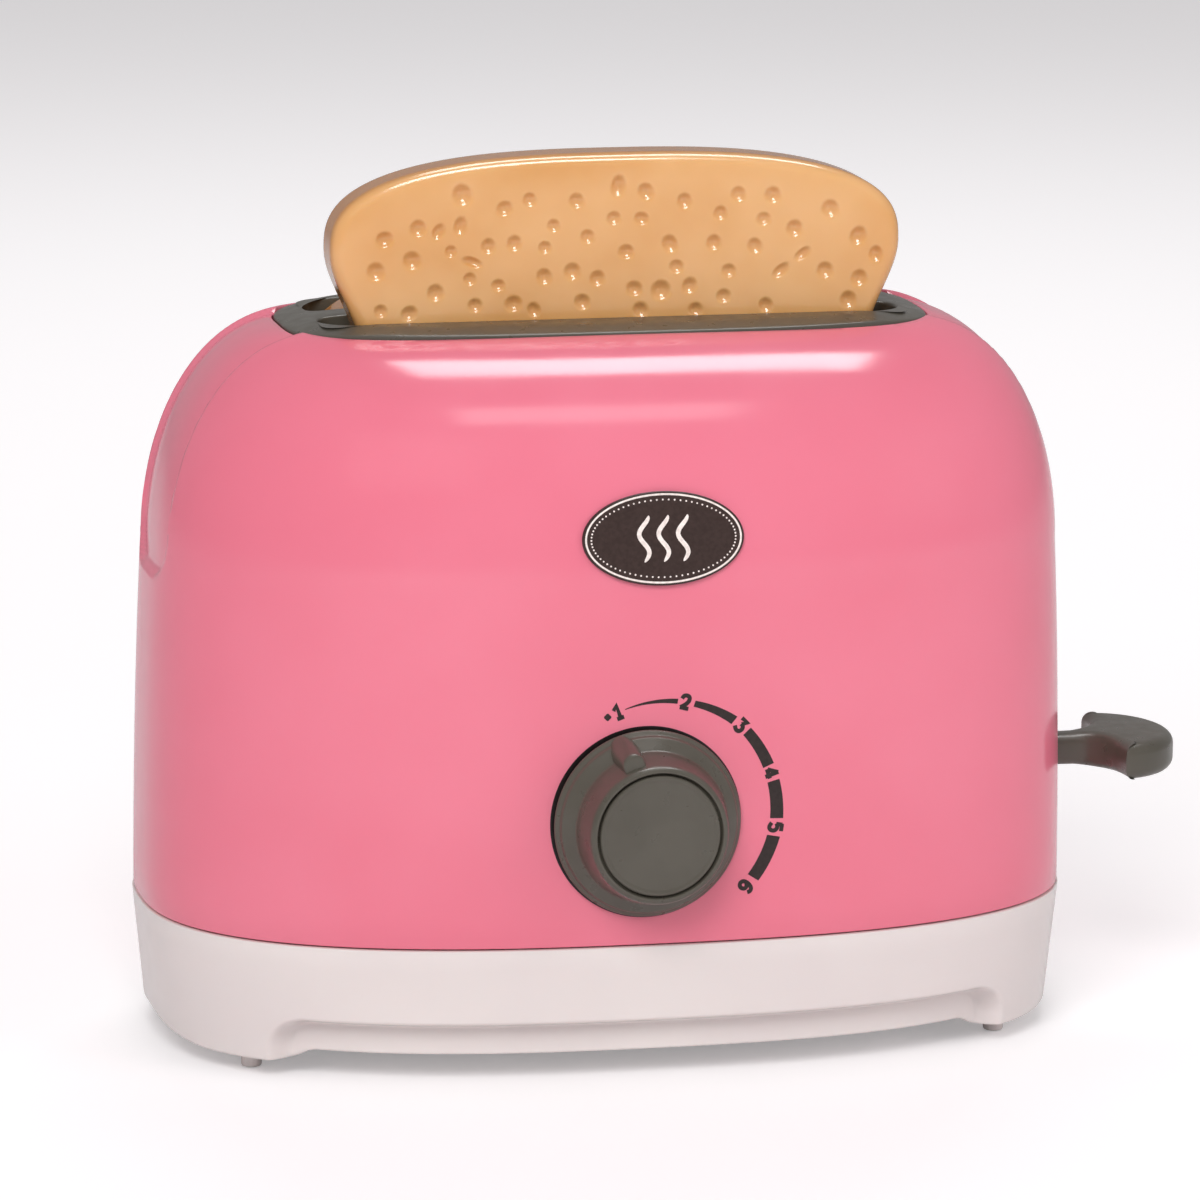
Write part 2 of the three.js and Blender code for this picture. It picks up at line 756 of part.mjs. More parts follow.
function wireRing(centre, outward, across) {
  const points = [];
  for (let side = 0; side < wireSides; side++) {
    const angle = (2 * Math.PI * side) / wireSides;
    const point = centre.clone();
    point.addScaledVector(outward, (springWire / 2) * Math.cos(angle));
    point.addScaledVector(across, (springWire / 2) * Math.sin(angle));
    points.push(point);
  }
  return points;
}

// Lever knob: a stem that passes the shell's slot and flares into a half-moon paddle

function leverStemStart() {
  return bodyHalfLength - shellWall - leverStemInside;
}

function makeLeverKnob() {
  const stemEnd = bodyHalfLength + leverStemOutside;
  const bend = stemEnd + paddleLength / 3;
  const half = [];
  for (let i = 0; i < paddleSteps / 2; i++) {
    const angle = (Math.PI * i) / paddleSteps;
    half.push([bend + (paddleLength * 2 / 3) * Math.cos(angle), paddleHalfWidth * Math.sin(angle)]);
  }
  const flare = new THREE.QuadraticBezierCurve(
    new THREE.Vector2(bend, paddleHalfWidth), new THREE.Vector2(bend, leverArmHalfWidth),
    new THREE.Vector2(stemEnd, leverArmHalfWidth));
  const outlineHalf = [...half, ...flare.getPoints(paddleSteps / 4).map((point) => [point.x, point.y])];
  const mirrored = outlineHalf.slice(1).reverse().map(([x, y]) => [x, -y]);
  const shape = new THREE.Shape([...outlineHalf, ...mirrored].map(([x, y]) => new THREE.Vector2(x, y)));
  const geometry = new THREE.ExtrudeGeometry(shape, {
    depth: paddleThickness - 2 * paddleRounding,
    bevelSize: paddleRounding,
    bevelThickness: paddleRounding,
    bevelOffset: -paddleRounding,
    bevelSegments: 3,
  });
  geometry.translate(0, 0, leverMiddle - paddleThickness / 2 + paddleRounding);
  const stem = box([leverStemStart(), bend], [-leverArmHalfWidth, leverArmHalfWidth],
    [leverBottom, leverBottom + leverArmHeight]);
  const socket = box(
    [leverStemStart() - overrun, leverStemStart() + leverTongueLength],
    [-leverTongueHalfWidth - gap, leverTongueHalfWidth + gap],
    [leverMiddle - leverTongueHeight / 2 - gap, leverMiddle + leverTongueHeight / 2 + gap]);
  return toSolid(geometry).add(stem).subtract(socket);
}

// Leaf spring on the base's floor; its bump holds the carriage's edge down
function makeDetent() {
  const edge = -carriageHalfLength - gap;
  const back = edge - detentBump - detentThickness;
  const middle = carriageHeight + carriageThickness / 2;
  const shape = new THREE.Shape();
  shape.moveTo(back - detentWidth, floorTop);
  shape.lineTo(back + detentThickness, floorTop);
  shape.lineTo(back + detentThickness, middle - detentBump);
  shape.lineTo(edge, middle);
  shape.lineTo(back + detentThickness, middle + detentBump);
  shape.lineTo(back + detentThickness, middle + 3 * detentBump);
  shape.lineTo(back, middle + 3 * detentBump);
  shape.lineTo(back, floorTop + detentThickness);
  shape.lineTo(back - detentWidth, floorTop + detentThickness);
  return push(shape, [-detentWidth / 2, detentWidth / 2]);
}

// Dial, cap and shaft

function turned(points, steps = roundSteps * 2) {
  const geometry = new THREE.LatheGeometry(points.map(([r, y]) => new THREE.Vector2(r, y)), steps);
  geometry.translate(dialX, 0, dialHeight);
  return toSolid(geometry);
}

function makeDialKnob() {
  const skirtFront = skirtBackY - skirtThickness;
  const stepFront = skirtBackY - stepRise;
  const knob = turned([
    [0, skirtBackY], [0, dialFrontY], [knobRadius - knobEdge, dialFrontY], [knobRadius, dialFrontY + knobEdge],
    [knobFootRadius, stepFront - skirtThickness], [stepRadius - skirtThickness, stepFront],
    [stepRadius, stepFront + knobEdge], [skirtRadius - knobEdge, skirtFront], [skirtRadius, skirtFront + knobEdge],
    [skirtRadius, skirtBackY], [0, skirtBackY],
  ]);
  const pointer = push(
    roundedBox(-pointerHalfWidth, pointerHalfWidth, 0, pointerReach, pointerHalfWidth),
    [dialFrontY + pointerDrop, skirtBackY]);
  const turnedPointer = pointer.rotate([0, -pointerAngle, 0]).translate([dialX, 0, dialHeight]);
  const recess = roundY(
    capRadius + gap, dialX, [dialFrontY - overrun, dialFrontY + capThickness + gap], dialHeight, roundSteps * 2);
  const bore = roundY(
    shaftRadius + gap, dialX, [dialFrontY + shaftCover, skirtBackY + overrun], dialHeight, roundSteps);
  return knob.add(turnedPointer).subtract(recess.add(bore));
}

function makeDialCap() {
  const back = dialFrontY + capThickness;
  return turned([
    [0, back], [0, dialFrontY], [capRadius - gap, dialFrontY], [capRadius, dialFrontY + gap],
    [capRadius, back], [0, back],
  ]);
}

function makeDialShaft() {
  const y = [dialFrontY + shaftCover + gap, kickerFrontY() + kickerThickness + gap];
  return roundY(shaftRadius, dialX, y, dialHeight, roundSteps);
}

function kickerFrontY() {
  return timerBackY + kickerSetback;
}

function makeKicker() {
  const y = [kickerFrontY(), kickerFrontY() + kickerThickness];
  const hub = roundY(kickerHubRadius, dialX, y, dialHeight, roundSteps);
  const finger = push(roundedBox(
    dialX, dialX + kickerReach, dialHeight - kickerHalfWidth, dialHeight + kickerHalfWidth,
    kickerHalfWidth - gap), y);
  const bore = roundY(
    shaftRadius + gap, dialX, [y[0] - overrun, y[1] + overrun], dialHeight, roundSteps);
  return hub.add(finger).subtract(bore);
}

// Clockwork

function pitchRadius(teeth) {
  return gearModule * teeth / 2;
}

const toothTipShare = 0.1;
const toothRootShare = 0.33;
const addendumShare = 0.85;
const dedendumShare = 1.2;

function gearShape(teeth, turn) {
  const pitch = pitchRadius(teeth);
  const flank = [
    [pitch - gearModule * dedendumShare, toothRootShare],
    [pitch + gearModule * addendumShare, toothTipShare],
  ];
  const side = (mirror) => flank.map(([radius, share]) => [radius, mirror * share]);
  const profile = [...side(-1), ...side(1).reverse()];
  const points = [];
  for (let tooth = 0; tooth < teeth; tooth++) {
    for (const [radius, share] of profile) {
      const angle = (2 * Math.PI * (tooth + share)) / teeth + turn;
      points.push(new THREE.Vector2(radius * Math.cos(angle), radius * Math.sin(angle)));
    }
  }
  return new THREE.Shape(points);
}

function gear(teeth, turn, centre, y) {
  return push(gearShape(teeth, turn), y).translate([centre[0], 0, centre[1]]);
}

function polar(centre, distance, degrees) {
  const angle = THREE.MathUtils.degToRad(degrees);
  return [centre[0] + distance * Math.cos(angle), centre[1] + distance * Math.sin(angle)];
}

const dialCentre = [dialX, dialHeight];
const wheelCentre = polar(dialCentre, pitchRadius(driveTeeth + pinionTeeth), wheelAngle);
const fanCentre = polar(wheelCentre, pitchRadius(wheelTeeth + pinionTeeth), fanAngle);
const driveY = [0, gearThickness].map((y) => timerFrontY + plateThickness + gearLayerGap + y);
const wheelY = [0, gearThickness].map((y) => driveY[1] + gearLayerGap + y);
const fanFrontY = wheelY[1] + 3 * gearLayerGap;
const fanRoom = timerBackY - plateThickness - fanFrontY;
const fanY = [fanFrontY, fanFrontY + fanRoom * fanLengthShare];
const radians = THREE.MathUtils.degToRad;
const toothPitch = (teeth) => 2 * Math.PI / teeth;

function makeDriveGear() {
  const bore = roundY(shaftRadius + gap, dialX, [driveY[0] - overrun, driveY[1] + overrun], dialHeight, roundSteps);
  return gear(driveTeeth, radians(wheelAngle), dialCentre, driveY).subtract(bore);
}

function arbor(centre) {
  return roundY(arborRadius, centre[0], [timerFrontY + gap, timerBackY - gap], centre[1]);
}

function makeWheel() {
  const meshed = Math.PI + radians(wheelAngle) + toothPitch(pinionTeeth) / 2;
  const pinion = gear(pinionTeeth, meshed, wheelCentre, [driveY[0] - gap, wheelY[0] + gap]);
  const wheel = gear(wheelTeeth, radians(fanAngle), wheelCentre, wheelY);
  return join([arbor(wheelCentre), pinion, wheel]);
}

function makeFanPinion() {
  const meshed = Math.PI + radians(fanAngle) + toothPitch(pinionTeeth) / 2;
  const pinion = gear(pinionTeeth, meshed, fanCentre, [wheelY[0] - gap, wheelY[1] + gap]);
  return arbor(fanCentre).add(pinion);
}

function makeFan() {
  const hub = roundY(fanHubRadius, fanCentre[0], fanY, fanCentre[1]);
  const blades = box(
    [fanCentre[0] - fanRadius, fanCentre[0] + fanRadius], fanY,
    [fanCentre[1] - fanBlade / 2, fanCentre[1] + fanBlade / 2]);
  const bore = roundY(arborRadius + gap, fanCentre[0], [fanY[0] - overrun, fanY[1] + overrun], fanCentre[1]);
  return hub.add(blades).subtract(bore);
}

function plateShape() {
  return roundedBox(-plateLeft, plateRight, plateBottom, plateTop, plateRadius);
}

function pillarPlaces() {
  const left = -plateLeft + pillarInset;
  const right = plateRight - pillarInset;
  const low = plateBottom + pillarInset;
  const high = plateTop - pillarInset;
  return [[left, low], [right, low], [right, high], [left, high]];
}

function timerScrewPlaces() {
  const z = plateTop - timerScrewInset;
  const inset = timerScrewInset + pillarInset + timerScrewHead;
  return [[-plateLeft + inset, z], [plateRight - inset, z]];
}

function makePlate(front) {
  const y = [front, front + plateThickness];
  const through = [y[0] - overrun, y[1] + overrun];
  const holes = [
    roundY(shaftRadius + gap, dialX, through, dialHeight, roundSteps),
    roundY(arborRadius + gap, wheelCentre[0], through, wheelCentre[1]),
    roundY(arborRadius + gap, fanCentre[0], through, fanCentre[1]),
  ];
  return push(plateShape(), y).subtract(join(holes));
}

function makeFrontPlate() {
  const through = [timerFrontY - overrun, timerFrontY + plateThickness + overrun];
  const holes = timerScrewPlaces().map(([x, z]) => roundY(timerScrewRadius + gap, x, through, z));
  return makePlate(timerFrontY).subtract(join(holes));
}

function makeBackPlate() {
  const anchor = springEnd();
  const post = roundY(
    arborRadius, anchor[0] + arborRadius + gap, [timerBackY - plateThickness / 2 - anchorLength(), timerBackY],
    anchor[1]);
  return makePlate(timerBackY - plateThickness).add(post);
}

function anchorLength() {
  return fanRoom;
}

function makePillar([x, z]) {
  const y = [timerFrontY + plateThickness, timerBackY - plateThickness];
  return roundY(pillarRadius, x, y, z);
}

function springEnd() {
  return [dialX + mainspringInner + mainspringPitch * mainspringTurns + mainspringStrip / 2, dialHeight];
}

// A flat strip wound outwards round the dial's shaft
function makeMainspring() {
  const steps = mainspringTurns * mainspringSteps;
  const edge = (shift) => {
    const points = [];
    for (let i = 0; i <= steps; i++) {
      const angle = (2 * Math.PI * i) / mainspringSteps;
      const radius = mainspringInner + (mainspringPitch * i) / mainspringSteps + shift;
      points.push(new THREE.Vector2(dialX + radius * Math.cos(angle), dialHeight + radius * Math.sin(angle)));
    }
    return points;
  };
  const shape = new THREE.Shape([...edge(mainspringStrip / 2), ...edge(-mainspringStrip / 2).reverse()]);
  console.log(`mainspring: least gap between turns ${(mainspringPitch - mainspringStrip).toFixed(2)} mm`);
  return push(shape, [fanFrontY, fanFrontY + fanRoom * mainspringWidthShare]);
}

function makeTimerScrew([x, z]) {
  const face = timerFrontY + plateThickness;
  const head = roundY(timerScrewHead, x, [face, face + gearLayerGap + timerScrewRadius], z);
  const shank = roundY(timerScrewRadius, x, [timerFrontY - timerSetback + shellWall + gap, face + gap], z);
  return head.add(shank);
}

// The pieces

add('shell', materials.shell, makeShell());
add('base', materials.base, makeBase());
corners((sx, sy) => [sx, sy]).forEach(([sx, sy], i) => {
  add(`foot_${i + 1}`, materials.foot, makeFoot(sx, sy));
  add(`base_screw_${i + 1}`, materials.steel, makeBaseScrew(sx, sy));
});
add('badge', materials.badge, badgeSolid(0, -(badgeThickness - badgeProud) + gap, badgeProud));
add('slot_insert', materials.grey, makeInsert());
add('front_slot_liner', materials.grey, makeLiner(-slotY));
add('rear_slot_liner', materials.grey, makeLiner(slotY));
add('front_bread_slice', materials.bread, makeSlice(-slotY, frontSliceBottom));
add('rear_bread_slice', materials.bread, makeSlice(slotY, rearSliceBottom));
add('bread_carriage', materials.acetal, makeCarriage());
[-rodX, rodX].forEach((x, i) => {
  add(`guide_rod_${i + 1}`, materials.steel, makeRod(x));
  add(`carriage_bush_${i + 1}`, materials.acetal, makeBush(x));
  add(`return_spring_${i + 1}`, materials.spring, makeSpring(x));
});
add('lever_knob', materials.grey, makeLeverKnob());
add('detent_spring', materials.spring, makeDetent());
add('dial_knob', materials.grey, makeDialKnob());
add('dial_cap', materials.grey, makeDialCap());
add('dial_shaft', materials.acetal, makeDialShaft());
add('drive_gear', materials.acetal, makeDriveGear());
add('kicker', materials.acetal, makeKicker());
add('intermediate_gear', materials.acetal, makeWheel());
add('governor_pinion', materials.acetal, makeFanPinion());
add('governor_fan', materials.acetal, makeFan());
add('mainspring', materials.spring, makeMainspring());
add('timer_front_plate', materials.steel, makeFrontPlate());
add('timer_back_plate', materials.steel, makeBackPlate());
pillarPlaces().forEach((place, i) => add(`timer_pillar_${i + 1}`, materials.steel, makePillar(place)));
timerScrewPlaces().forEach((place, i) => add(`timer_screw_${i + 1}`, materials.steel, makeTimerScrew(place)));

// The origin lies under the middle of the whole toy, lever and dial included
const leverTip = bodyHalfLength + leverStemOutside + paddleLength;
const middleX = (leverTip - bodyHalfLength - baseLip) / 2;
const middleY = (dialFrontY + bodyHalfDepth + baseLip) / 2;
toaster.position.set(-middleX, -middleY, 0);

export default toaster;
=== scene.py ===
"""Looks of a toy pop-up toaster: glossy shell and base, slot plate, moulded slices of toast, dial, lever,
badge and printed scale.

Pieces are modelled in millimetres round the toaster's own middle, with the feet on z = 0,
+X towards the lever and -Y towards the dial, and are put in the shared frame as they are finished.
"""

import math
import random

import bmesh
import bpy
from mathutils import Matrix, Vector


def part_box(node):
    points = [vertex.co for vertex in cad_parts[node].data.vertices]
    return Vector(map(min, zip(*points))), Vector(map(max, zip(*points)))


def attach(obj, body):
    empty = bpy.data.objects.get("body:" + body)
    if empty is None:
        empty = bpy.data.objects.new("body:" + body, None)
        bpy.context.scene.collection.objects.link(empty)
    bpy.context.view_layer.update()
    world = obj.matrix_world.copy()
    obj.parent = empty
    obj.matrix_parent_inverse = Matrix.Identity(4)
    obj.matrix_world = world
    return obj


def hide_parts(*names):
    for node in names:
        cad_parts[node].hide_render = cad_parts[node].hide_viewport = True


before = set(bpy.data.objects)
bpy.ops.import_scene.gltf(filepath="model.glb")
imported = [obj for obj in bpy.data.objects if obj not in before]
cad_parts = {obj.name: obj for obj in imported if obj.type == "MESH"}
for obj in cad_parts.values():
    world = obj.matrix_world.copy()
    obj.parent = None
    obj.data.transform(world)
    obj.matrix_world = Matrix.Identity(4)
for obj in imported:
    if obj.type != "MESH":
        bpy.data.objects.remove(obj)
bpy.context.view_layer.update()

base_low, base_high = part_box("base")
MIDDLE = Vector(((base_low.x + base_high.x) / 2, (base_low.y + base_high.y) / 2, 0))
MM = 0.001
TO_FRAME = Matrix.Translation(MIDDLE) @ Matrix.Scale(MM, 4)


# Sizes, in millimetres

HALF_LENGTH = 87.1
HALF_DEPTH = 54.3
PLAN_POWER = 2.57
BASE_TOP = 26.1
SHELL_BOTTOM = 26.4
SHOULDER = 92.0
SHELL_TOP = 135.0
SIDE_LEAN = 1.5
# Along the toaster and across it
SHOULDER_RUN = (26.0, 29.0)
# Angle up to which the shoulder's rows stay level, before they turn into the slot plate's outline
SHOULDER_FOOT = math.radians(12)
WALL = 2.4
LIP_BOTTOM = 129.0
LIP_ROUNDING = 0.45
TONGUE_HALF_WIDTH = 15.0
TONGUE_BOTTOM = 88.2
TONGUE_RADIUS = 9.0
TONGUE_DEPTH = 1.2
# Half width, bottom and top
LEVER_SLOT = (3.6, 43.8, 76.2)
BASE_TAPER = 2.3
# How far the base stands out past the foot of the shell
BASE_PROUD = 0.25
END_BOTTOM = 3.3
END_ARCH = 2.2
PLINTH_BOTTOM = 5.2
# Where, along the toaster, the plinth's underside starts to turn into an end's, and where it is one
PLINTH_END = (63.5, 69)
COVE_TOP = 11.3
COVE_DEPTH = 4.0
COVE_HALF_LENGTH = 68.8
COVE_RADIUS = 5.5
# Along and across from the middle, and radius
SCREW_HOLE = (62, 30, 3.4)
# Half length and half depth
PLATE = (60.6, 27.3)
PLATE_POWER = 3.3
PLATE_GAP = 0.3
PLATE_BOTTOM = 129.4
PLATE_UNDERSIDE = 132.4
PLATE_DROOP = 0.95
INSERT_TOP = 135.8
# Half length, half width and corner radius
SLOT = (54.6, 6.2, 3.0)
SLOT_Y = 9.8
SLICE_HALF_THICKNESS = 5.4
# Front and rear
SLICE_BOTTOMS = (70.0, 46.0)
DIAL = Vector((-2.8, 0, 49.3))
DIAL_FRONT = 54.1
SHAFT_HOLE_RADIUS = 4
LEVER_MIDDLE = 47.5
# How far printed ink stands proud
PRINT = 0.03
TOWARDS_DIAL = Vector((0, -1, 0))


# Surfaces as numbers


def around(count):
    """Angles at an even spacing round a full turn."""
    return [2 * math.pi * i / count for i in range(count)]


def circle(x, y, radius, count):
    return [(x + radius * math.cos(t), y + radius * math.sin(t)) for t in around(count)]


def oval_point(share, power):
    """Point of a unit superellipse at a share of a full turn."""
    angle = 2 * math.pi * share
    c, s = math.cos(angle), math.sin(angle)
    return Vector((math.copysign(abs(c) ** (2 / power), c), math.copysign(abs(s) ** (2 / power), s)))


def plan_point(share):
    return oval_point(share, PLAN_POWER)


def side_section(z, inset=0.0):
    """Half length and half depth of the shell's side at a height."""
    lean = SIDE_LEAN * (max(z - BASE_TOP, 0) / (SHOULDER - BASE_TOP)) ** 2
    return HALF_LENGTH - lean - inset, HALF_DEPTH - lean - inset, z


def shoulder_section(angle, inset=0.0):
    """The same on the shoulder, at an angle from its foot to the flat top."""
    flat = (HALF_LENGTH - SIDE_LEAN - SHOULDER_RUN[0], HALF_DEPTH - SIDE_LEAN - SHOULDER_RUN[1])
    return (
        flat[0] + (SHOULDER_RUN[0] - inset) * math.cos(angle),
        flat[1] + (SHOULDER_RUN[1] - inset) * math.cos(angle),
        SHOULDER + (SHELL_TOP - SHOULDER - inset) * math.sin(angle),
    )


def section_point(unit, section):
    return Vector((unit.x * section[0], unit.y * section[1], section[2]))


def step(value, start, end):
    """Smooth step from 0 at start to 1 at end."""
    t = min(max((value - start) / (end - start), 0), 1)
    return t * t * (3 - 2 * t)


def rounded_distance(x, y, half_x, half_y, radius):
    """Signed distance to a rounded rectangle, negative inside."""
    dx, dy = abs(x) - (half_x - radius), abs(y) - (half_y - radius)
    outside = math.hypot(max(dx, 0), max(dy, 0))
    return outside + min(max(dx, dy), 0) - radius


def on_shell(x, z):
    """A place on the shell's front, as far proud of its skin as printed ink."""
    if z < SHOULDER:
        a, b, _height = side_section(z)
    else:
        a, b, _height = shoulder_section(math.asin((z - SHOULDER) / (SHELL_TOP - SHOULDER)))
    return Vector((x, -b * (1 - abs(x / a) ** PLAN_POWER) ** (1 / PLAN_POWER) - PRINT, z))


def rounding(radius, steps):
    """Rounds an edge off from a face to a side: how far each row is from the side, and from the face."""
    angles = [math.pi / 2 * i / steps for i in range(steps + 1)]
    return [(radius * (1 - math.sin(angle)), radius * (1 - math.cos(angle))) for angle in angles]


# Modelling helpers


def ring_of(bm, points):
    """A closed ring of edges, reshaped from a circle."""
    bmesh.ops.create_circle(bm, segments=len(points), radius=1, cap_ends=False)
    bm.verts.ensure_lookup_table()
    ring = bm.verts[-len(points):]
    for vert, point in zip(ring, points):
        vert.co = point
    return ring


def loop_edges(bm, ring):
    count = len(ring)
    return [bm.edges.get((ring[i], ring[(i + 1) % count])) for i in range(count)]


def extruded(bm, verts, edges, points):
    """Extrudes the edges between verts, puts each new vert at its point, and gives the new verts."""
    made = bmesh.ops.extrude_edge_only(bm, edges=edges)["geom"]
    fresh = {item for item in made if isinstance(item, bmesh.types.BMVert)}
    grown = []
    for vert, point in zip(verts, points):
        partner = next(e.other_vert(vert) for e in vert.link_edges if e.other_vert(vert) in fresh)
        partner.co = point
        grown.append(partner)
    return grown


def grow(bm, ring, points):
    """Extrudes a ring's edges to new places, and gives the new ring."""
    return extruded(bm, ring, loop_edges(bm, ring), points)


def cap(bm, ring):
    """Closes a ring with one flat face."""
    bmesh.ops.contextual_create(bm, geom=list(ring))


def fill(bm, edges):
    """Closes flat loops of edges, which may bend inwards or lie one in another."""
    bmesh.ops.triangle_fill(bm, use_beauty=True, use_dissolve=False, edges=edges)


def stack(bm, rows):
    """A closed solid through rows of points, the first and last closed with a flat face."""
    ring = ring_of(bm, rows[0])
    cap(bm, ring)
    for points in rows[1:]:
        ring = grow(bm, ring, points)
    cap(bm, ring)


def prism(points, direction, depth):
    """A closed solid pushed from a flat outline."""
    bm = bmesh.new()
    stack(bm, [points, [point + direction * depth for point in points]])
    return bm


def rounded_ring(half_x, half_y, radius, spacing, centre):
    """Points along a rounded rectangle at an even spacing, anticlockwise from its right side."""
    radius = min(radius, half_x, half_y)
    corner = max(4, round(math.pi / 2 * radius / spacing))
    points = []
    # The side of the middle on which each corner lies, and the way on from it
    corners = ((1, 1, -1, 0), (-1, 1, 0, -1), (-1, -1, 1, 0), (1, -1, 0, 1))
    for quarter, (sx, sy, dx, dy) in enumerate(corners):
        middle = Vector((sx * (half_x - radius), sy * (half_y - radius)))
        for i in range(corner + 1):
            angle = math.pi / 2 * (quarter + i / corner)
            points.append(middle + radius * Vector((math.cos(angle), math.sin(angle))))
        straight = 2 * ((half_x if dx else half_y) - radius)
        pieces = max(1, round(straight / spacing))
        last = points[-1]
        points += [last + Vector((dx, dy)) * straight * i / pieces for i in range(1, pieces)]
    return [point + Vector(centre) for point in points]


def inward(points, distance):
    """The closed outline moved towards its inside."""
    count = len(points)
    moved = []
    for i, point in enumerate(points):
        along = (points[(i + 1) % count] - points[i - 1]).normalized()
        moved.append(point + distance * Vector((-along.y, along.x)))
    return moved


def ribbon(bm, first, second):
    """A strip of faces between two open lines of points."""
    verts = [bm.verts.new(point) for point in first]
    edges = [bm.edges.new(pair) for pair in zip(verts, verts[1:])]
    extruded(bm, verts, edges, second)


def into_mesh(name, bm):
    mesh = bpy.data.meshes.new(name)
    bm.to_mesh(mesh)
    bm.free()
    return mesh


def add_object(name, data):
    item = bpy.data.objects.new(name, data)
    bpy.context.collection.objects.link(item)
    return item


def shade_smooth(mesh, sharp):
    """Smooth shading that keeps the edges sharper than an angle in degrees."""
    for face in mesh.polygons:
        face.use_smooth = True
    mesh.set_sharp_from_angle(angle=math.radians(sharp))


def finish_piece(name, bm, material, body, sharp=40, weld=0.0, facing=None):
    """Puts a finished shape in the shared frame as an object that rides on a body."""
    if weld:
        bmesh.ops.remove_doubles(bm, verts=bm.verts, dist=weld)
    bmesh.ops.recalc_face_normals(bm, faces=bm.faces)
    if facing is not None:
        bmesh.ops.reverse_faces(bm, faces=[face for face in bm.faces if face.normal.dot(facing) < 0])
    bmesh.ops.transform(bm, matrix=TO_FRAME, verts=bm.verts)
    mesh = into_mesh(name, bm)
    shade_smooth(mesh, sharp)
    piece = add_object(name, mesh)
    mesh.materials.append(material)
    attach(piece, body)
    return piece


def carve(piece, cutters, sharp=40):
    """Cuts closed shapes, given as bmesh solids in millimetres, out of a piece."""
    for bm in cutters:
        bmesh.ops.recalc_face_normals(bm, faces=bm.faces)
        bmesh.ops.transform(bm, matrix=TO_FRAME, verts=bm.verts)
        tool = add_object("cutter", into_mesh("cutter", bm))
        cut = piece.modifiers.new("cut", "BOOLEAN")
        cut.operation = "DIFFERENCE"
        cut.solver = "EXACT"
        cut.object = tool
        graph = bpy.context.evaluated_depsgraph_get()
        carved = bpy.data.meshes.new_from_object(piece.evaluated_get(graph))
        piece.modifiers.remove(cut)
        bpy.data.objects.remove(tool)
        old = piece.data
        piece.data = carved
        bpy.data.meshes.remove(old)
        carved.name = piece.name
    shade_smooth(piece.data, sharp)


# Materials


def linear(code):
    """A colour written as sRGB hex, turned to linear light."""
    channels = [int(code[i:i + 2], 16) / 255 for i in (1, 3, 5)]
    return [c / 12.92 if c <= 0.04045 else ((c + 0.055) / 1.055) ** 2.4 for c in channels] + [1]


def feed(tree, item, inputs):
    """Gives a node its inputs: a socket is linked, and any other value is set."""
    for name, value in inputs.items():
        if isinstance(value, bpy.types.NodeSocket):
            tree.links.new(value, item.inputs[name])
        else:
            item.inputs[name].default_value = value


def add_node(tree, kind, inputs=None, **settings):
    item = tree.nodes.new(kind)
    for name, value in settings.items():
        setattr(item, name, value)
    feed(tree, item, inputs or {})
    return item


def start_material(name):
    material = bpy.data.materials.new(name)
    material.use_nodes = True
    tree = material.node_tree
    shader = tree.nodes["Principled BSDF"]
    place = add_node(tree, "ShaderNodeTexCoord").outputs["Object"]
    return material, tree, shader, place


def ripple(tree, place, size_mm, detail=2.0):
    """Noise whose features have a real size."""
    inputs = {"Vector": place, "Scale": 1 / (size_mm * MM), "Detail": detail}
    return add_node(tree, "ShaderNodeTexNoise", inputs).outputs["Fac"]


def remap(tree, value, low, high, to_low, to_high):
    inputs = {"Value": value, "From Min": low, "From Max": high, "To Min": to_low, "To Max": to_high}
    return add_node(tree, "ShaderNodeMapRange", inputs).outputs["Result"]


def blend_colour(tree, share, first, second):
    # The Mix node's sockets for colours share their names with others, so they go by number
    factor, colour_a, colour_b, result = 0, 6, 7, 2
    inputs = {factor: share, colour_a: first, colour_b: second}
    return add_node(tree, "ShaderNodeMix", inputs, data_type="RGBA").outputs[result]


def mottled(tree, cloud, first, second):
    """Two colours, written as sRGB hex, that blend into each other through a cloud of noise."""
    return blend_colour(tree, remap(tree, cloud, 0.35, 0.65, 0, 1), linear(first), linear(second))


def relief(tree, shader, layers):
    """Bump from several heights, each in real millimetres, chained onto the shader."""
    normal = None
    for height, depth_mm in layers:
        inputs = {"Height": height, "Distance": depth_mm * MM, "Strength": 1.0}
        if normal is not None:
            inputs["Normal"] = normal
        normal = add_node(tree, "ShaderNodeBump", inputs).outputs["Normal"]
    tree.links.new(normal, shader.inputs["Normal"])


def gloss_abs(name, colour, deeper, roughness):
    # Injection-moulded ABS from a polished tool: a deep gloss whose reflections swim slightly,
    # because the wall sinks a few microns as it cools.
    material, tree, shader, place = start_material(name)
    handled = ripple(tree, place, 14.0, 4.0)
    feed(tree, shader, {
        "Base Color": mottled(tree, ripple(tree, place, 42.0), colour, deeper),
        "Roughness": remap(tree, handled, 0.35, 0.7, roughness * 0.85, roughness * 1.2),
        "IOR": 1.53,
        "Subsurface Weight": 0.06,
        "Subsurface Radius": (1.0, 0.5, 0.4),
        "Subsurface Scale": 0.002,
    })
    relief(tree, shader, [(ripple(tree, place, 9.0), 0.010), (ripple(tree, place, 0.45), 0.0012)])
    return material


def satin_grey_abs():
    # ABS coloured warm dark grey, from a tool that was fine-sanded: broad soft highlights
    # over a fine grain, a little glossier where it is handled.
    material, tree, shader, place = start_material("satin_dark_grey_abs")
    feed(tree, shader, {
        "Base Color": mottled(tree, ripple(tree, place, 11.0, 3.0), "#57534a", "#514d44"),
        "Roughness": remap(tree, ripple(tree, place, 3.0, 4.0), 0.3, 0.7, 0.26, 0.38),
        "IOR": 1.53,
    })
    relief(tree, shader, [(ripple(tree, place, 5.0), 0.012), (ripple(tree, place, 0.25), 0.0022)])
    return material


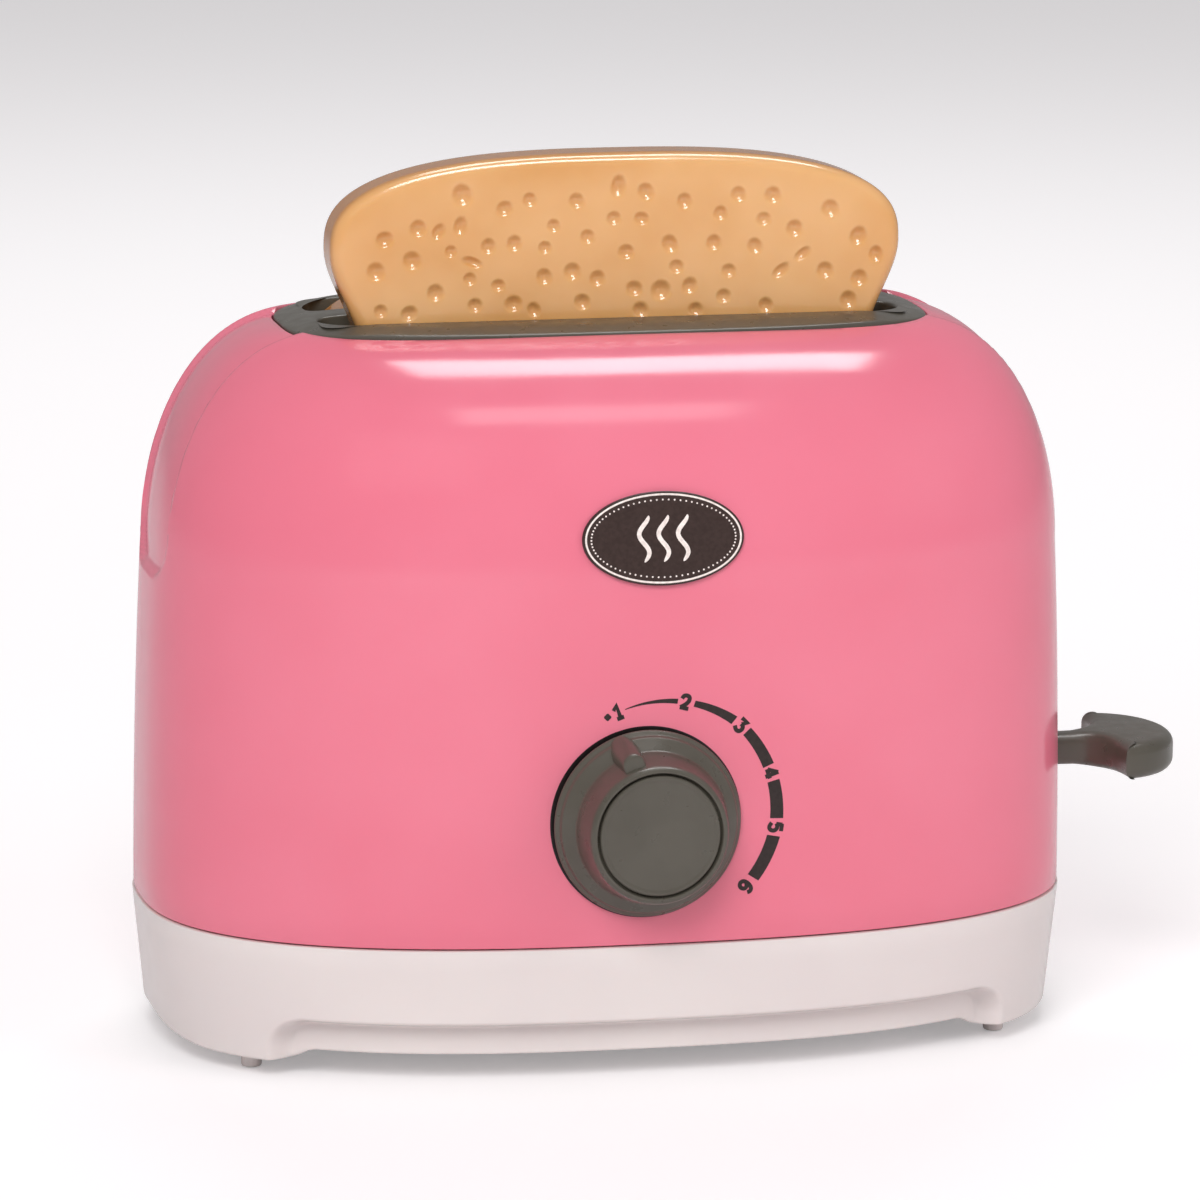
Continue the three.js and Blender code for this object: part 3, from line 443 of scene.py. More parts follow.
def toasted_polyethylene():
    # Blow-moulded polyethylene, coloured like toast and misted with browner paint on the crust, with painted
    # shade darkening the dimples: waxy, with a little light let in, under the thin gloss of a clear coat.
    material, tree, shader, place = start_material("toast_coloured_polyethylene")
    crumb = mottled(tree, ripple(tree, place, 22.0, 3.0), "#e9b479", "#dfa566")
    painted_dimple_shade = add_node(tree, "ShaderNodeAttribute", attribute_name="painted_dimple_shade").outputs["Fac"]
    # Painted shade: the crumb colour darkens towards each dimple's deepest point
    dimple = blend_colour(tree, remap(tree, painted_dimple_shade, 0.0, 1, 0, 0.35), crumb, linear("#c68a52"))
    crust = add_node(tree, "ShaderNodeAttribute", attribute_name="crust").outputs["Fac"]
    patch = remap(tree, ripple(tree, place, 9.0), 0.3, 0.7, 0.85, 1)
    amount = add_node(tree, "ShaderNodeMath", {0: crust, 1: patch}, operation="MULTIPLY").outputs["Value"]
    feed(tree, shader, {
        "Base Color": blend_colour(tree, amount, dimple, linear("#b97a3c")),
        "Roughness": remap(tree, ripple(tree, place, 9.0), 0.3, 0.7, 0.15, 0.2),
        "IOR": 1.51,
        "Subsurface Weight": 0.15,
        "Subsurface Radius": (1.0, 0.55, 0.25),
        "Subsurface Scale": 0.003,
        "Coat Weight": 0.35,
        "Coat Roughness": 0.12,
    })
    relief(tree, shader, [(ripple(tree, place, 9.0), 0.04), (ripple(tree, place, 1.3), 0.004)])
    return material


def printed_ink(name, colour):
    # Pad-printed ink or lacquer, also used for a painted shadow: thin, even and a little less glossy than the
    # plastic under it.
    material, tree, shader, place = start_material(name)
    share = remap(tree, ripple(tree, place, 0.8, 3.0), 0.35, 0.65, 0, 1)
    lighter = [min(c * 1.25 + 0.004, 1) for c in linear(colour)[:3]] + [1]
    feed(tree, shader, {
        "Base Color": blend_colour(tree, share, linear(colour), lighter),
        "Roughness": 0.38,
        "IOR": 1.5,
    })
    return material


def natural_acetal():
    # Unpainted acetal, as moulded: milky white and waxy, with a little light let in.
    material, tree, shader, place = start_material("natural_acetal")
    feed(tree, shader, {
        "Base Color": mottled(tree, ripple(tree, place, 6.0), "#f1efe6", "#e6e3d8"),
        "Roughness": remap(tree, ripple(tree, place, 2.0, 3.0), 0.3, 0.7, 0.32, 0.48),
        "IOR": 1.48,
        "Subsurface Weight": 0.2,
        "Subsurface Scale": 0.002,
    })
    relief(tree, shader, [(ripple(tree, place, 0.6), 0.003)])
    return material


def rolled_steel(name, colour, roughness, grain_mm):
    # Zinc-plated or drawn steel: a soft grey mirror with fine rolling marks.
    material, tree, shader, place = start_material(name)
    stretched = add_node(tree, "ShaderNodeMapping", {"Vector": place, "Scale": (1, 1, 12)}).outputs["Vector"]
    grain = ripple(tree, stretched, grain_mm, 4.0)
    darker = [c * 0.82 for c in linear(colour)[:3]] + [1]
    feed(tree, shader, {
        "Base Color": blend_colour(tree, remap(tree, grain, 0.3, 0.7, 0, 1), linear(colour), darker),
        "Roughness": remap(tree, grain, 0.3, 0.7, roughness * 0.8, roughness * 1.3),
        "Metallic": 1.0,
    })
    relief(tree, shader, [(grain, 0.002)])
    return material


PINK = gloss_abs("polished_pink_abs", "#f08096", "#ed7a90", 0.15)
OFF_WHITE = gloss_abs("polished_off_white_abs", "#ece3e0", "#e7dddb", 0.2)
GREY = satin_grey_abs()
TOAST = toasted_polyethylene()
INK = printed_ink("dark_brown_pad_print", "#251917")
# Near-black ink for the ring round the dial: painted shadow of the gap under the dial's skirt
SHADOW_RING_INK = printed_ink("painted_gap_shadow", "#14100f")
BADGE_PLATE = printed_ink("dark_brown_badge_lacquer", "#33231f")
BADGE_PRINT = printed_ink("cream_badge_print", "#e9dcd6")
ACETAL = natural_acetal()
PLATED = rolled_steel("zinc_plated_steel", "#b9bcbf", 0.3, 0.5)
SPRING = rolled_steel("drawn_spring_steel", "#8f9296", 0.28, 0.4)


# Shell


def spaced_columns(spacing):
    """Unit outline points, with the spacing that is asked for at each place."""
    samples = 6000
    a, b, _height = side_section(SHOULDER)
    weights = [0.0]
    before = plan_point(0)
    for i in range(1, samples + 1):
        unit = plan_point(i / samples)
        length = math.hypot((unit.x - before.x) * a, (unit.y - before.y) * b)
        weights.append(weights[-1] + length / spacing(unit))
        before = unit
    count = 4 * round(weights[-1] / 4)
    columns, index = [], 0
    for k in range(count):
        target = weights[-1] * k / count
        while weights[index + 1] <= target:
            index += 1
        part = (target - weights[index]) / (weights[index + 1] - weights[index])
        columns.append(plan_point((index + part) / samples))
    return columns


def recess(point):
    """How deep the tongue-shaped recess is at a place of the shell's skin."""
    if abs(point.x) < PLATE[0] - 8:
        return 0.0
    # The rounded rectangle runs on far above the shell, so that only its lower corners count
    half = (SHELL_TOP - TONGUE_BOTTOM) / 2 + 40
    distance = rounded_distance(
        point.z - TONGUE_BOTTOM - half, point.y, half, TONGUE_HALF_WIDTH, TONGUE_RADIUS)
    return TONGUE_DEPTH * step(-distance, 0, 1.5)


def skin_row(columns, section):
    """One row of the outer skin, sunk where the recess is. section gives the row's size for an inset."""
    row = []
    for unit in columns:
        depth = recess(section_point(unit, section(0)))
        row.append(section_point(unit, section(depth)))
    return row


def opening_angle(unit, clearance):
    """Shoulder angle at which a column meets the top opening, or a line round it."""
    low, high = SHOULDER_FOOT, math.pi / 2
    for _ in range(30):
        angle = (low + high) / 2
        point = section_point(unit, shoulder_section(angle))
        a, b = PLATE[0] + PLATE_GAP + clearance, PLATE[1] + PLATE_GAP + clearance
        if abs(point.x / a) ** PLATE_POWER + abs(point.y / b) ** PLATE_POWER > 1:
            low = angle
        else:
            high = angle
    return low


def make_shell():
    # Closest together at the ends, where the tongue-shaped recesses are
    columns = spaced_columns(lambda unit: 0.8 if abs(unit.y) < 0.74 and abs(unit.x) > 0.6 else 2.4)
    bm = bmesh.new()

    def row(section):
        return [section_point(unit, section) for unit in columns]

    first = row(side_section(SHELL_BOTTOM, WALL))
    ring = ring_of(bm, first)
    for inset, z in ((0.4, SHELL_BOTTOM), (0.12, SHELL_BOTTOM + 0.1), (0, SHELL_BOTTOM + 0.4)):
        ring = grow(bm, ring, row(side_section(z, inset)))
    heights = [32, 40, 48, 56, 64, 71, 77, 81, 84, 86]
    heights += [86 + 0.75 * i for i in range(1, 9)]
    for z in heights:
        ring = grow(bm, ring, skin_row(columns, lambda inset, z=z: side_section(z, inset)))
    for i in range(13):
        angle = SHOULDER_FOOT * i / 12
        ring = grow(bm, ring, skin_row(columns, lambda inset, angle=angle: shoulder_section(angle, inset)))
    ends = [opening_angle(unit, LIP_ROUNDING) for unit in columns]
    steps = 34
    for k in range(1, steps + 1):
        points = []
        for unit, end in zip(columns, ends):
            angle = SHOULDER_FOOT + (end - SHOULDER_FOOT) * k / steps
            depth = recess(section_point(unit, shoulder_section(angle)))
            points.append(section_point(unit, shoulder_section(angle, depth)))
        ring = grow(bm, ring, points)
    rim = [vert.co.copy() for vert in ring]
    edge = [section_point(unit, shoulder_section(opening_angle(unit, 0))) for unit in columns]
    for share, drop in ((0.7, 0.13), (1.0, LIP_ROUNDING)):
        ring = grow(bm, ring, [
            Vector((high.x + (at.x - high.x) * share, high.y + (at.y - high.y) * share, high.z - drop))
            for high, at in zip(rim, edge)])
    ring = grow(bm, ring, [Vector((at.x, at.y, LIP_BOTTOM)) for at in edge])
    # Out from the lip to the inside of the wall, and down it
    ring = grow(bm, ring, [Vector((at.x * 1.03, at.y * 1.05, LIP_BOTTOM)) for at in edge])
    for degrees in (70, 55, 40, 25, 12, 0):
        ring = grow(bm, ring, row(shoulder_section(math.radians(degrees), WALL)))
    for z in (70, 48):
        ring = grow(bm, ring, row(side_section(z, WALL)))
    grow(bm, ring, first)
    piece = finish_piece("shell_skin", bm, PINK, "body", weld=0.0005)
    half, bottom, top = LEVER_SLOT
    outline = rounded_ring(half, (top - bottom) / 2, 1.0, 0.3, (0, 0))
    slot = prism([Vector((80, p.x, p.y + (bottom + top) / 2)) for p in outline], Vector((1, 0, 0)), 15)
    rim = circle(DIAL.x, DIAL.z, SHAFT_HOLE_RADIUS, 48)
    hole = prism([Vector((x, -60, z)) for x, z in rim], Vector((0, 1, 0)), 12)
    carve(piece, [slot, hole])
    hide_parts("shell")


# Base


def base_section(z, inset=0.0):
    """Half length and half depth of the base's side at a height."""
    taper = BASE_TAPER * (BASE_TOP - z) / (BASE_TOP - END_BOTTOM)
    inset = inset + max(taper, 0) - BASE_PROUD
    return HALF_LENGTH - inset, HALF_DEPTH - inset, z


def cove_share(unit, z):
    """1 in the cove between the ends, 0 on an end, with soft edges."""
    point = section_point(unit, base_section(z))
    # The rounded rectangle runs on far below the base, so that only its upper corners count
    half = 30
    distance = rounded_distance(point.x, z - (COVE_TOP - half), COVE_HALF_LENGTH, half, COVE_RADIUS)
    return step(-distance, -0.9, 0.9)


def bottom_height(x, y):
    """Lowest edge of the base: its ends stand lower than the plinth, each with a gentle arch."""
    end = END_BOTTOM + END_ARCH * (1 - step(abs(y), 0, 29))
    return PLINTH_BOTTOM + (end - PLINTH_BOTTOM) * step(abs(x), *PLINTH_END)


def make_base():
    columns = spaced_columns(lambda unit: 0.35 if 0.7 < abs(unit.x) < 0.87 else 1.7)
    bm = bmesh.new()

    def row(z, inset):
        return [section_point(unit, base_section(z, inset)) for unit in columns]

    # Up the inside, over the rim and down the outside
    ring = ring_of(bm, row(7.6, 7.2))
    cap(bm, ring)
    for z, inset in (
            (13, 6.8), (13.6, 3), (25.6, 2.4), (BASE_TOP, 2.2), (BASE_TOP, 0.4), (BASE_TOP - 0.1, 0.12),
            (BASE_TOP - 0.4, 0.0), (22, 0.0), (18, 0.0), (15, 0.0), (13.4, 0.0)):
        ring = grow(bm, ring, row(z, inset))
    floor = []
    for unit in columns:
        point = section_point(unit, base_section(4.0))
        floor.append(bottom_height(point.x, point.y))
    steps = 26
    cove_start, edge = 13.0, 0.35
    for k in range(1, steps + 1):
        points = []
        for unit, low in zip(columns, floor):
            z = cove_start + (low + edge - cove_start) * (k / steps)
            points.append(section_point(unit, base_section(z, COVE_DEPTH * cove_share(unit, z))))
        ring = grow(bm, ring, points)
    depth = [COVE_DEPTH * cove_share(unit, low + edge) for unit, low in zip(columns, floor)]
    for extra, drop in ((0.12, 0.25), (0.4, 0.35)):
        ring = grow(bm, ring, [
            section_point(unit, base_section(low + edge - drop, inset + extra))
            for unit, low, inset in zip(columns, floor, depth)])
    # The underside, row by row towards the middle
    for k in range(1, 20):
        points = []
        for unit, inset in zip(columns, depth):
            flat = section_point(unit, base_section(PLINTH_BOTTOM, inset + 0.4 + 1.1 * k))
            flat.z = bottom_height(flat.x, flat.y)
            points.append(flat)
        ring = grow(bm, ring, points)
    cap(bm, ring)
    piece = finish_piece("base_tub", bm, OFF_WHITE, "body", sharp=50)
    along, across, radius = SCREW_HOLE
    rims = [circle(sx * along, sy * across, radius, 40) for sx, sy in ((1, -1), (-1, -1), (-1, 1), (1, 1))]
    carve(piece, [prism([Vector((*at, -1)) for at in rim], Vector((0, 0, 1)), 8.5) for rim in rims], sharp=50)
    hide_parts("base")


def make_foot(number, x, y):
    """A round pad moulded with a soft edge."""
    bm = bmesh.new()
    profile = ((1.5, 0.0), (1.75, 0.1), (1.9, 0.4), (1.9, 3.6), (1.2, 3.6), (1.2, 5.0))
    stack(bm, [[Vector((*at, z)) for at in circle(x, y, radius, 48)] for radius, z in profile])
    piece = finish_piece(f"foot_pad_{number}", bm, OFF_WHITE, "body")
    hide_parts(f"foot_{number}")


# Slot plate


def droop(x):
    """How far the slot plate hangs down towards its ends, to follow the shell."""
    return PLATE_DROOP * step(abs(x), 44, 61)


def plate_ring(inset, height):
    a, b = PLATE[0] - inset, PLATE[1] - inset
    ring = []
    for i in range(320):
        unit = oval_point(i / 320, PLATE_POWER)
        ring.append(Vector((unit.x * a, unit.y * b, height - droop(unit.x * a))))
    return ring


def make_slot_plate():
    bm = bmesh.new()
    lower = ring_of(bm, plate_ring(1.4, PLATE_BOTTOM))
    inner = grow(bm, lower, plate_ring(1.4, PLATE_UNDERSIDE))
    ring = grow(bm, lower, plate_ring(0.0, PLATE_BOTTOM))
    edge_top = INSERT_TOP - 0.95
    for inset, height in (
            (0.0, edge_top - 0.35), (0.08, edge_top - 0.12), (0.3, edge_top + 0.04), (0.8, edge_top + 0.18),
            (1.5, edge_top + 0.36), (2.1, edge_top + 0.5), (2.9, INSERT_TOP - 0.28), (3.9, INSERT_TOP - 0.1),
            (5.0, INSERT_TOP)):
        ring = grow(bm, ring, plate_ring(inset, height))
    deck_edges = loop_edges(bm, ring)
    under_edges = loop_edges(bm, inner)
    for side in (-1, 1):
        outline = rounded_ring(*SLOT, 1.0, (0, side * SLOT_Y))

        def slot_ring(inset, drop):
            return [Vector((*p, INSERT_TOP - drop - droop(p.x))) for p in inward(outline, inset)]

        edge = ring_of(bm, slot_ring(-0.6, 0))
        deck_edges += loop_edges(bm, edge)
        for inset, drop in ((-0.28, 0.08), (-0.08, 0.28), (0, 0.6), (0, INSERT_TOP - PLATE_UNDERSIDE)):
            edge = grow(bm, edge, slot_ring(inset, drop))
        under_edges += loop_edges(bm, edge)
    fill(bm, deck_edges)
    fill(bm, under_edges)
    piece = finish_piece("slot_plate", bm, GREY, "body", sharp=50)
    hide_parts("slot_insert")


# Slices of toast

SLICE_HEIGHT = 95.98
CROWN_HALF_WIDTH = 53.6
CROWN_HEIGHT = 17.5
CROWN_POWER = 2.7
SIDE_HALF_WIDTH = 48.0
NECK_HEIGHT = 60.5
EDGE_RADIUS = 2.4
# A dimple's rim and rows as shares of its radius, each row with its share of the depth
COLLAR = 1.8
DIMPLE_ROWS = (
    (1.62, 0.008), (1.44, 0.06), (1.28, 0.163), (1.14, 0.293), (1.0, 0.444),
    (0.84, 0.608), (0.66, 0.758), (0.46, 0.882), (0.24, 0.968), (0.1, 0.994))
# Depth as a share of the radius, and a scale for all radii
DIMPLE_DEPTH = 0.8
DIMPLE_SIZE = 0.9
DIMPLE_STEPS = 20
DIMPLES = 128

# Dimples of the slice's upper face: across and up from its foot, and radius
UPPER_DIMPLES = (
    (-29.4, 89.0, 1.6), (-21.5, 86.3, 1.2), (-16.8, 87.8, 1.1), (-8.0, 87.4, 1.2), (-0.2, 90.0, 1.4),
    (5.0, 88.8, 1.3), (12.3, 86.9, 1.2), (22.5, 87.9, 1.2), (29.0, 87.6, 1.3), (39.9, 84.8, 1.4),
    (19.1, 84.5, 1.1), (27.3, 83.2, 1.1), (-12.3, 82.9, 1.0), (-1.0, 84.0, 1.1), (4.2, 83.8, 1.1),
    (-37.6, 83.0, 1.3), (-33.8, 82.3, 1.1), (-29.7, 83.3, 1.2), (-43.8, 81.1, 1.3), (-5.9, 80.7, 1.1),
    (-19.6, 79.8, 1.2), (-24.5, 79.4, 1.2), (-13.9, 78.9, 1.0), (1.4, 77.7, 1.2), (9.6, 79.0, 1.3),
    (17.9, 79.0, 1.2), (25.7, 78.2, 1.2), (33.2, 81.3, 1.3), (45.3, 79.6, 1.4), (49.3, 76.1, 1.2),
    (34.8, 76.5, 1.3), (30.7, 73.5, 1.4), (-31.5, 78.6, 1.1), (-27.5, 76.5, 1.5), (-27.9, 73.4, 1.1),
    (-38.7, 77.1, 1.4), (-45.4, 75.2, 1.4), (-14.0, 73.5, 1.2), (-8.7, 74.3, 1.3), (-4.0, 72.9, 1.2),
    (10.9, 74.7, 1.1), (20.8, 73.7, 1.1), (39.1, 73.3, 1.3), (45.6, 71.7, 1.3), (3.0, 70.8, 1.2),
    (8.0, 70.4, 1.5), (13.4, 71.1, 1.2), (19.9, 69.0, 1.1), (-34.3, 71.0, 1.3), (-22.6, 72.1, 1.0),
    (-19.7, 68.6, 1.3), (-6.8, 68.6, 1.2), (-15.9, 67.4, 1.1), (43.6, 67.7, 1.3), (27.9, 67.1, 1.1),
    (-26.9, 68.5, 1.1), (-39.2, 67.3, 1.2), (-44.5, 67.9, 1.0), (14.6, 66.6, 1.1), (4.2, 66.8, 1.2),
)
# Those that are stretched: index, stretch and the angle of their long side
STRETCHED = {
    4: (1.5, 80), 16: (1.5, 60), 17: (1.4, 75), 28: (1.2, 60), 30: (1.9, 38), 31: (1.9, 38), 33: (2.1, -20)}


def slice_outline():
    """Outline of a slice from its foot: straight sides, a waist and a wide crown."""
    widest = SLICE_HEIGHT - CROWN_HEIGHT
    right = []
    corner = 6.0
    for i in range(9):
        angle = math.radians(-90 + 90 * i / 8)
        right.append(Vector((
            SIDE_HALF_WIDTH - corner + corner * math.cos(angle), corner + corner * math.sin(angle))))
    right += [Vector((SIDE_HALF_WIDTH, z)) for z in (14, 24, 34, 44, 54)]
    for i in range(13):
        t = i / 12
        share = step(t, 0, 1)
        right.append(Vector((
            SIDE_HALF_WIDTH + (CROWN_HALF_WIDTH - SIDE_HALF_WIDTH) * share,
            NECK_HEIGHT + (widest - NECK_HEIGHT) * t)))
    for i in range(1, 41):
        unit = oval_point(i / 160, CROWN_POWER)
        right.append(Vector((CROWN_HALF_WIDTH * unit.x, widest + CROWN_HEIGHT * unit.y)))
    left = [Vector((-p.x, p.y)) for p in reversed(right[:-1])]
    return right + left


def reach(spot, direction):
    """How far a dimple's collar reaches in a direction."""
    _x, _z, radius, stretch, degrees = spot
    turned = Matrix.Rotation(math.radians(-degrees), 2) @ direction
    return COLLAR * radius * math.hypot(turned.x * stretch ** 0.5, turned.y / stretch ** 0.5)


def scattered_dimples(seed):
    """Dimples for a whole face: the upper ones as given, the rest strewn at like spacing."""
    spacing, edge_margin, margin = 5.3, 0.3, 0.15
    source = random.Random(seed)
    spots = []
    for index, (x, z, radius) in enumerate(UPPER_DIMPLES):
        stretch, angle = STRETCHED.get(index, (source.uniform(1.0, 1.18), source.uniform(0, 180)))
        spots.append((x, z, DIMPLE_SIZE * radius, stretch, angle))
    tries = 0
    while len(spots) < DIMPLES and tries < 6000:
        tries += 1
        x, z = source.uniform(-45, 45), source.uniform(5, 66)
        if all(math.hypot(x - s[0], z - s[1]) > spacing for s in spots):
            radius = DIMPLE_SIZE * source.uniform(1.0, 1.5)
            spots.append((x, z, radius, source.uniform(1.0, 1.5), source.uniform(0, 180)))
    # Those too near the rounded edge move in, and those too near each other get smaller
    edge = inward(slice_outline(), EDGE_RADIUS)
    for i, spot in enumerate(spots):
        near = min(edge, key=lambda p: (p - Vector(spot[:2])).length)
        away = Vector(spot[:2]) - near
        short = reach(spot, away.normalized()) + edge_margin - away.length
        if short > 0:
            x, z = Vector(spot[:2]) + away.normalized() * short
            spots[i] = (x, z, *spot[2:])
    for i in range(len(spots)):
        for j in range(i + 1, len(spots)):
            first, second = spots[i], spots[j]
            apart = Vector(second[:2]) - Vector(first[:2])
            if apart.length > 9:
                continue
            need = reach(first, apart.normalized()) + reach(second, apart.normalized()) + margin
            if need > apart.length:
                share = apart.length / need
                spots[i] = (*first[:2], first[2] * share, *first[3:])
                spots[j] = (*second[:2], second[2] * share, *second[3:])
    return spots


def dimple_mesh():
    """A round dimple of radius 1, with how far it is sunk, as a share, along Y."""
    bm = bmesh.new()

    def row(scale, sink):
        return [Vector((x, sink, z)) for x, z in circle(0, 0, scale, DIMPLE_STEPS)]

    ring = ring_of(bm, row(COLLAR, 0))
    for scale, sink in DIMPLE_ROWS:
        ring = grow(bm, ring, row(scale, sink))
    cap(bm, ring)
    return into_mesh("dimple", bm)


def press_dimples(bm, marks, template, spots, y, side):
    """Presses dimples into the flat face at y, and gives the edges of their collars."""
    edges = []
    for x, z, radius, stretch, degrees in spots:
        start = len(bm.verts)
        bm.from_mesh(template)
        bm.verts.ensure_lookup_table()
        fresh = bm.verts[start:]
        turn = Matrix.Rotation(math.radians(degrees), 2)
        for vert in fresh:
            sink = vert.co.y
            at = turn @ Vector((vert.co.x * radius * stretch ** 0.5, vert.co.z * radius / stretch ** 0.5))
            vert.co = Vector((x + at.x, y + side * sink * DIMPLE_DEPTH * radius, z + at.y))
            # How far it is sunk, kept to paint shade into the dimple
            vert[marks] = sink
        edges += loop_edges(bm, fresh[:DIMPLE_STEPS])
    return edges


def make_slice(name, node, body, y, bottom, seed, mirrored):
    bm = bmesh.new()
    painted_dimple_shade = bm.verts.layers.float.new("painted_dimple_shade")
    crust = bm.verts.layers.float.new("crust")
    outline = slice_outline()

    def row(inset, depth):
        return [Vector((p.x, depth, p.y)) for p in inward(outline, inset)]

    def mark(ring, amount):
        for vert in ring:
            vert[crust] = amount

    # Row by row from the front face, round the crust, to the back face
    steps = 7
    edge = rounding(EDGE_RADIUS, steps)
    front = ring = ring_of(bm, row(EDGE_RADIUS, -SLICE_HALF_THICKNESS))
    for i, (inset, from_face) in enumerate(edge[1:], start=1):
        ring = grow(bm, ring, row(inset, from_face - SLICE_HALF_THICKNESS))
        mark(ring, 0.9 * step(i / steps, 0.5, 1.0))
    for depth in (-2.4, 0, 2.4):
        ring = grow(bm, ring, row(0, depth))
        mark(ring, 1.0)
    for i, (from_face, inset) in enumerate(edge):
        ring = grow(bm, ring, row(inset, SLICE_HALF_THICKNESS - from_face))
        mark(ring, 0.9 * step(1 - i / steps, 0.5, 1.0))
    template = dimple_mesh()
    for side, face_ring in ((1, front), (-1, ring)):
        turn = side * (-1 if mirrored else 1)
        spots = [(turn * x, z, radius, stretch, turn * degrees)
                 for x, z, radius, stretch, degrees in scattered_dimples(seed + side)]
        edges = loop_edges(bm, face_ring)
        edges += press_dimples(bm, painted_dimple_shade, template, spots, -side * SLICE_HALF_THICKNESS, side)
        fill(bm, edges)
    bpy.data.meshes.remove(template)
    bmesh.ops.translate(bm, vec=Vector((0, y, bottom)), verts=bm.verts)
    piece = finish_piece(name, bm, TOAST, body, sharp=60)
    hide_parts(node)
    return piece


# Dial


def dial_point(radius, out, angle):
    """A point at a radius and a distance out from the shell, at an angle clockwise from up."""
    return Vector((DIAL.x + radius * math.sin(angle), -DIAL_FRONT - out, DIAL.z + radius * math.cos(angle)))


def spun(profile):
    """A solid of revolution about the dial's axis, from a profile of (radius, distance out)."""
    bm = bmesh.new()
    stack(bm, [[dial_point(radius, out, angle) for angle in around(144)] for radius, out in profile])
    return bm


def make_dial():
    # The skirt from the shell outwards, and the grip
    bm = spun((
        (14.9, 0.5), (15.2, 0.55), (15.4, 0.75), (15.6, 1.0), (17.1, 1.05), (17.32, 1.15), (17.36, 1.3),
        (17.2, 1.6), (16.85, 1.85), (16.55, 2.1), (16.42, 2.35), (16.38, 2.75), (16.2, 3.05), (15.9, 3.25),
        (14.9, 4.05), (14.35, 4.5), (14.1, 4.75), (13.98, 5.1), (13.9, 5.6), (13.5, 7.6), (13.1, 9.6),
        (12.92, 10.5), (12.84, 10.9), (12.68, 11.35), (12.4, 11.72), (12.1, 11.9), (11.8, 11.96),
        (11.66, 11.9), (11.58, 11.7), (11.52, 11.0), (11.3, 10.8)))
    turn = math.radians(-19.4)

    def pointer(half_width, length, out):
        points = []
        for i in range(21):
            angle = math.pi * i / 20
            across = half_width * math.cos(angle)
            along = length - half_width + half_width * math.sin(angle)
            points.append((across, along))
        points += [(-half_width, 5.0), (half_width, 5.0)]
        return [Vector((
            DIAL.x + across * math.cos(turn) + along * math.sin(turn), -DIAL_FRONT - out,
            DIAL.z - across * math.sin(turn) + along * math.cos(turn))) for across, along in points]

    stack(bm, [pointer(*size) for size in (
        (2.95, 17.3, 1.4), (2.75, 16.95, 3.2), (2.5, 16.5, 5.8), (2.2, 16.0, 8.4), (2.05, 15.75, 9.7),
        (1.95, 15.6, 10.05), (1.72, 15.35, 10.25), (1.4, 15.05, 10.3))])
    piece = finish_piece("dial_grip", bm, GREY, "dial", sharp=48)
    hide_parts("dial_knob")
    disc = spun((
        (11.0, 10.9), (11.1, 11.3), (11.1, 11.62), (11.0, 11.86), (10.82, 11.97), (10.6, 12.0),
        (10.35, 11.96), (10.15, 11.88), (9.9, 11.86), (6, 11.86)))
    face = finish_piece("dial_face", disc, GREY, "dial", sharp=60)
    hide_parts("dial_cap")
    # The shadowed groove that the skirt stands over
    # A dark ring laid flat on the shell round the dial, under the skirt's edge: painted shadow of the gap
    # beneath the skirt, not a real groove
    bm = bmesh.new()
    outer, inner = ([on_shell(*at) for at in circle(DIAL.x, DIAL.z, radius, 144)] for radius in (17.72, 14.5))
    grow(bm, ring_of(bm, outer), inner)
    shadow_ring = finish_piece("dial_painted_shadow_ring", bm, SHADOW_RING_INK, "body", sharp=80, facing=TOWARDS_DIAL)


# Lever


def make_lever():
    """A stem that widens into a paddle with two horns, like an anchor's."""
    stem_start, stem_end, stem_half_width = 81.5, 92.6, 2.9
    length, half_width, half_thickness, radius = 19.48, 15.5, 3.5, 2.2
    bend = stem_end + length / 3
    quarter = 32
    half = []
    for i in range(quarter + 1):
        angle = math.pi / 2 * i / quarter
        half.append(Vector((bend + length * 2 / 3 * math.cos(angle), half_width * math.sin(angle))))
    horn = half[-1]
    for i in range(1, 21):
        t = i / 20
        half.append(Vector((
            (1 - t) ** 2 * horn.x + 2 * t * (1 - t) * bend + t * t * stem_end,
            (1 - t) ** 2 * horn.y + 2 * t * (1 - t) * stem_half_width + t * t * stem_half_width)))
    half += [Vector((88, stem_half_width)), Vector((82, stem_half_width))]
    outline = half + [Vector((p.x, -p.y)) for p in reversed(half[1:])]
    bm = bmesh.new()

    def row(inset, z):
        """The outline moved inwards; its points stop at the corner of each horn, so no row crosses itself."""
        moved = []
        inner = inward(outline, inset)
        corner = inner[quarter]
        for index, (point, shifted) in enumerate(zip(outline, inner)):
            # The stem is thinner than the paddle
            slim = 0.86 + 0.14 * step(point.x, stem_end - 1, stem_end + 4)
            x, y = max(shifted.x, stem_start), shifted.y
            if min(index, len(outline) - index) <= quarter:
                x = max(x, corner.x)
            else:
                y = max(-corner.y, min(corner.y, y))
            moved.append(Vector((x, y, LEVER_MIDDLE + z * slim)))
        return moved

    edge = rounding(radius, 6)
    ring = ring_of(bm, row(radius, -half_thickness))
    fill(bm, loop_edges(bm, ring))
    for inset, from_face in edge[1:]:
        ring = grow(bm, ring, row(inset, from_face - half_thickness))
    for from_face, inset in edge:
        ring = grow(bm, ring, row(inset, half_thickness - from_face))
    fill(bm, loop_edges(bm, ring))
    piece = finish_piece("lever_paddle", bm, GREY, "carriage", sharp=50)
    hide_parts("lever_knob")


# Badge and printed scale


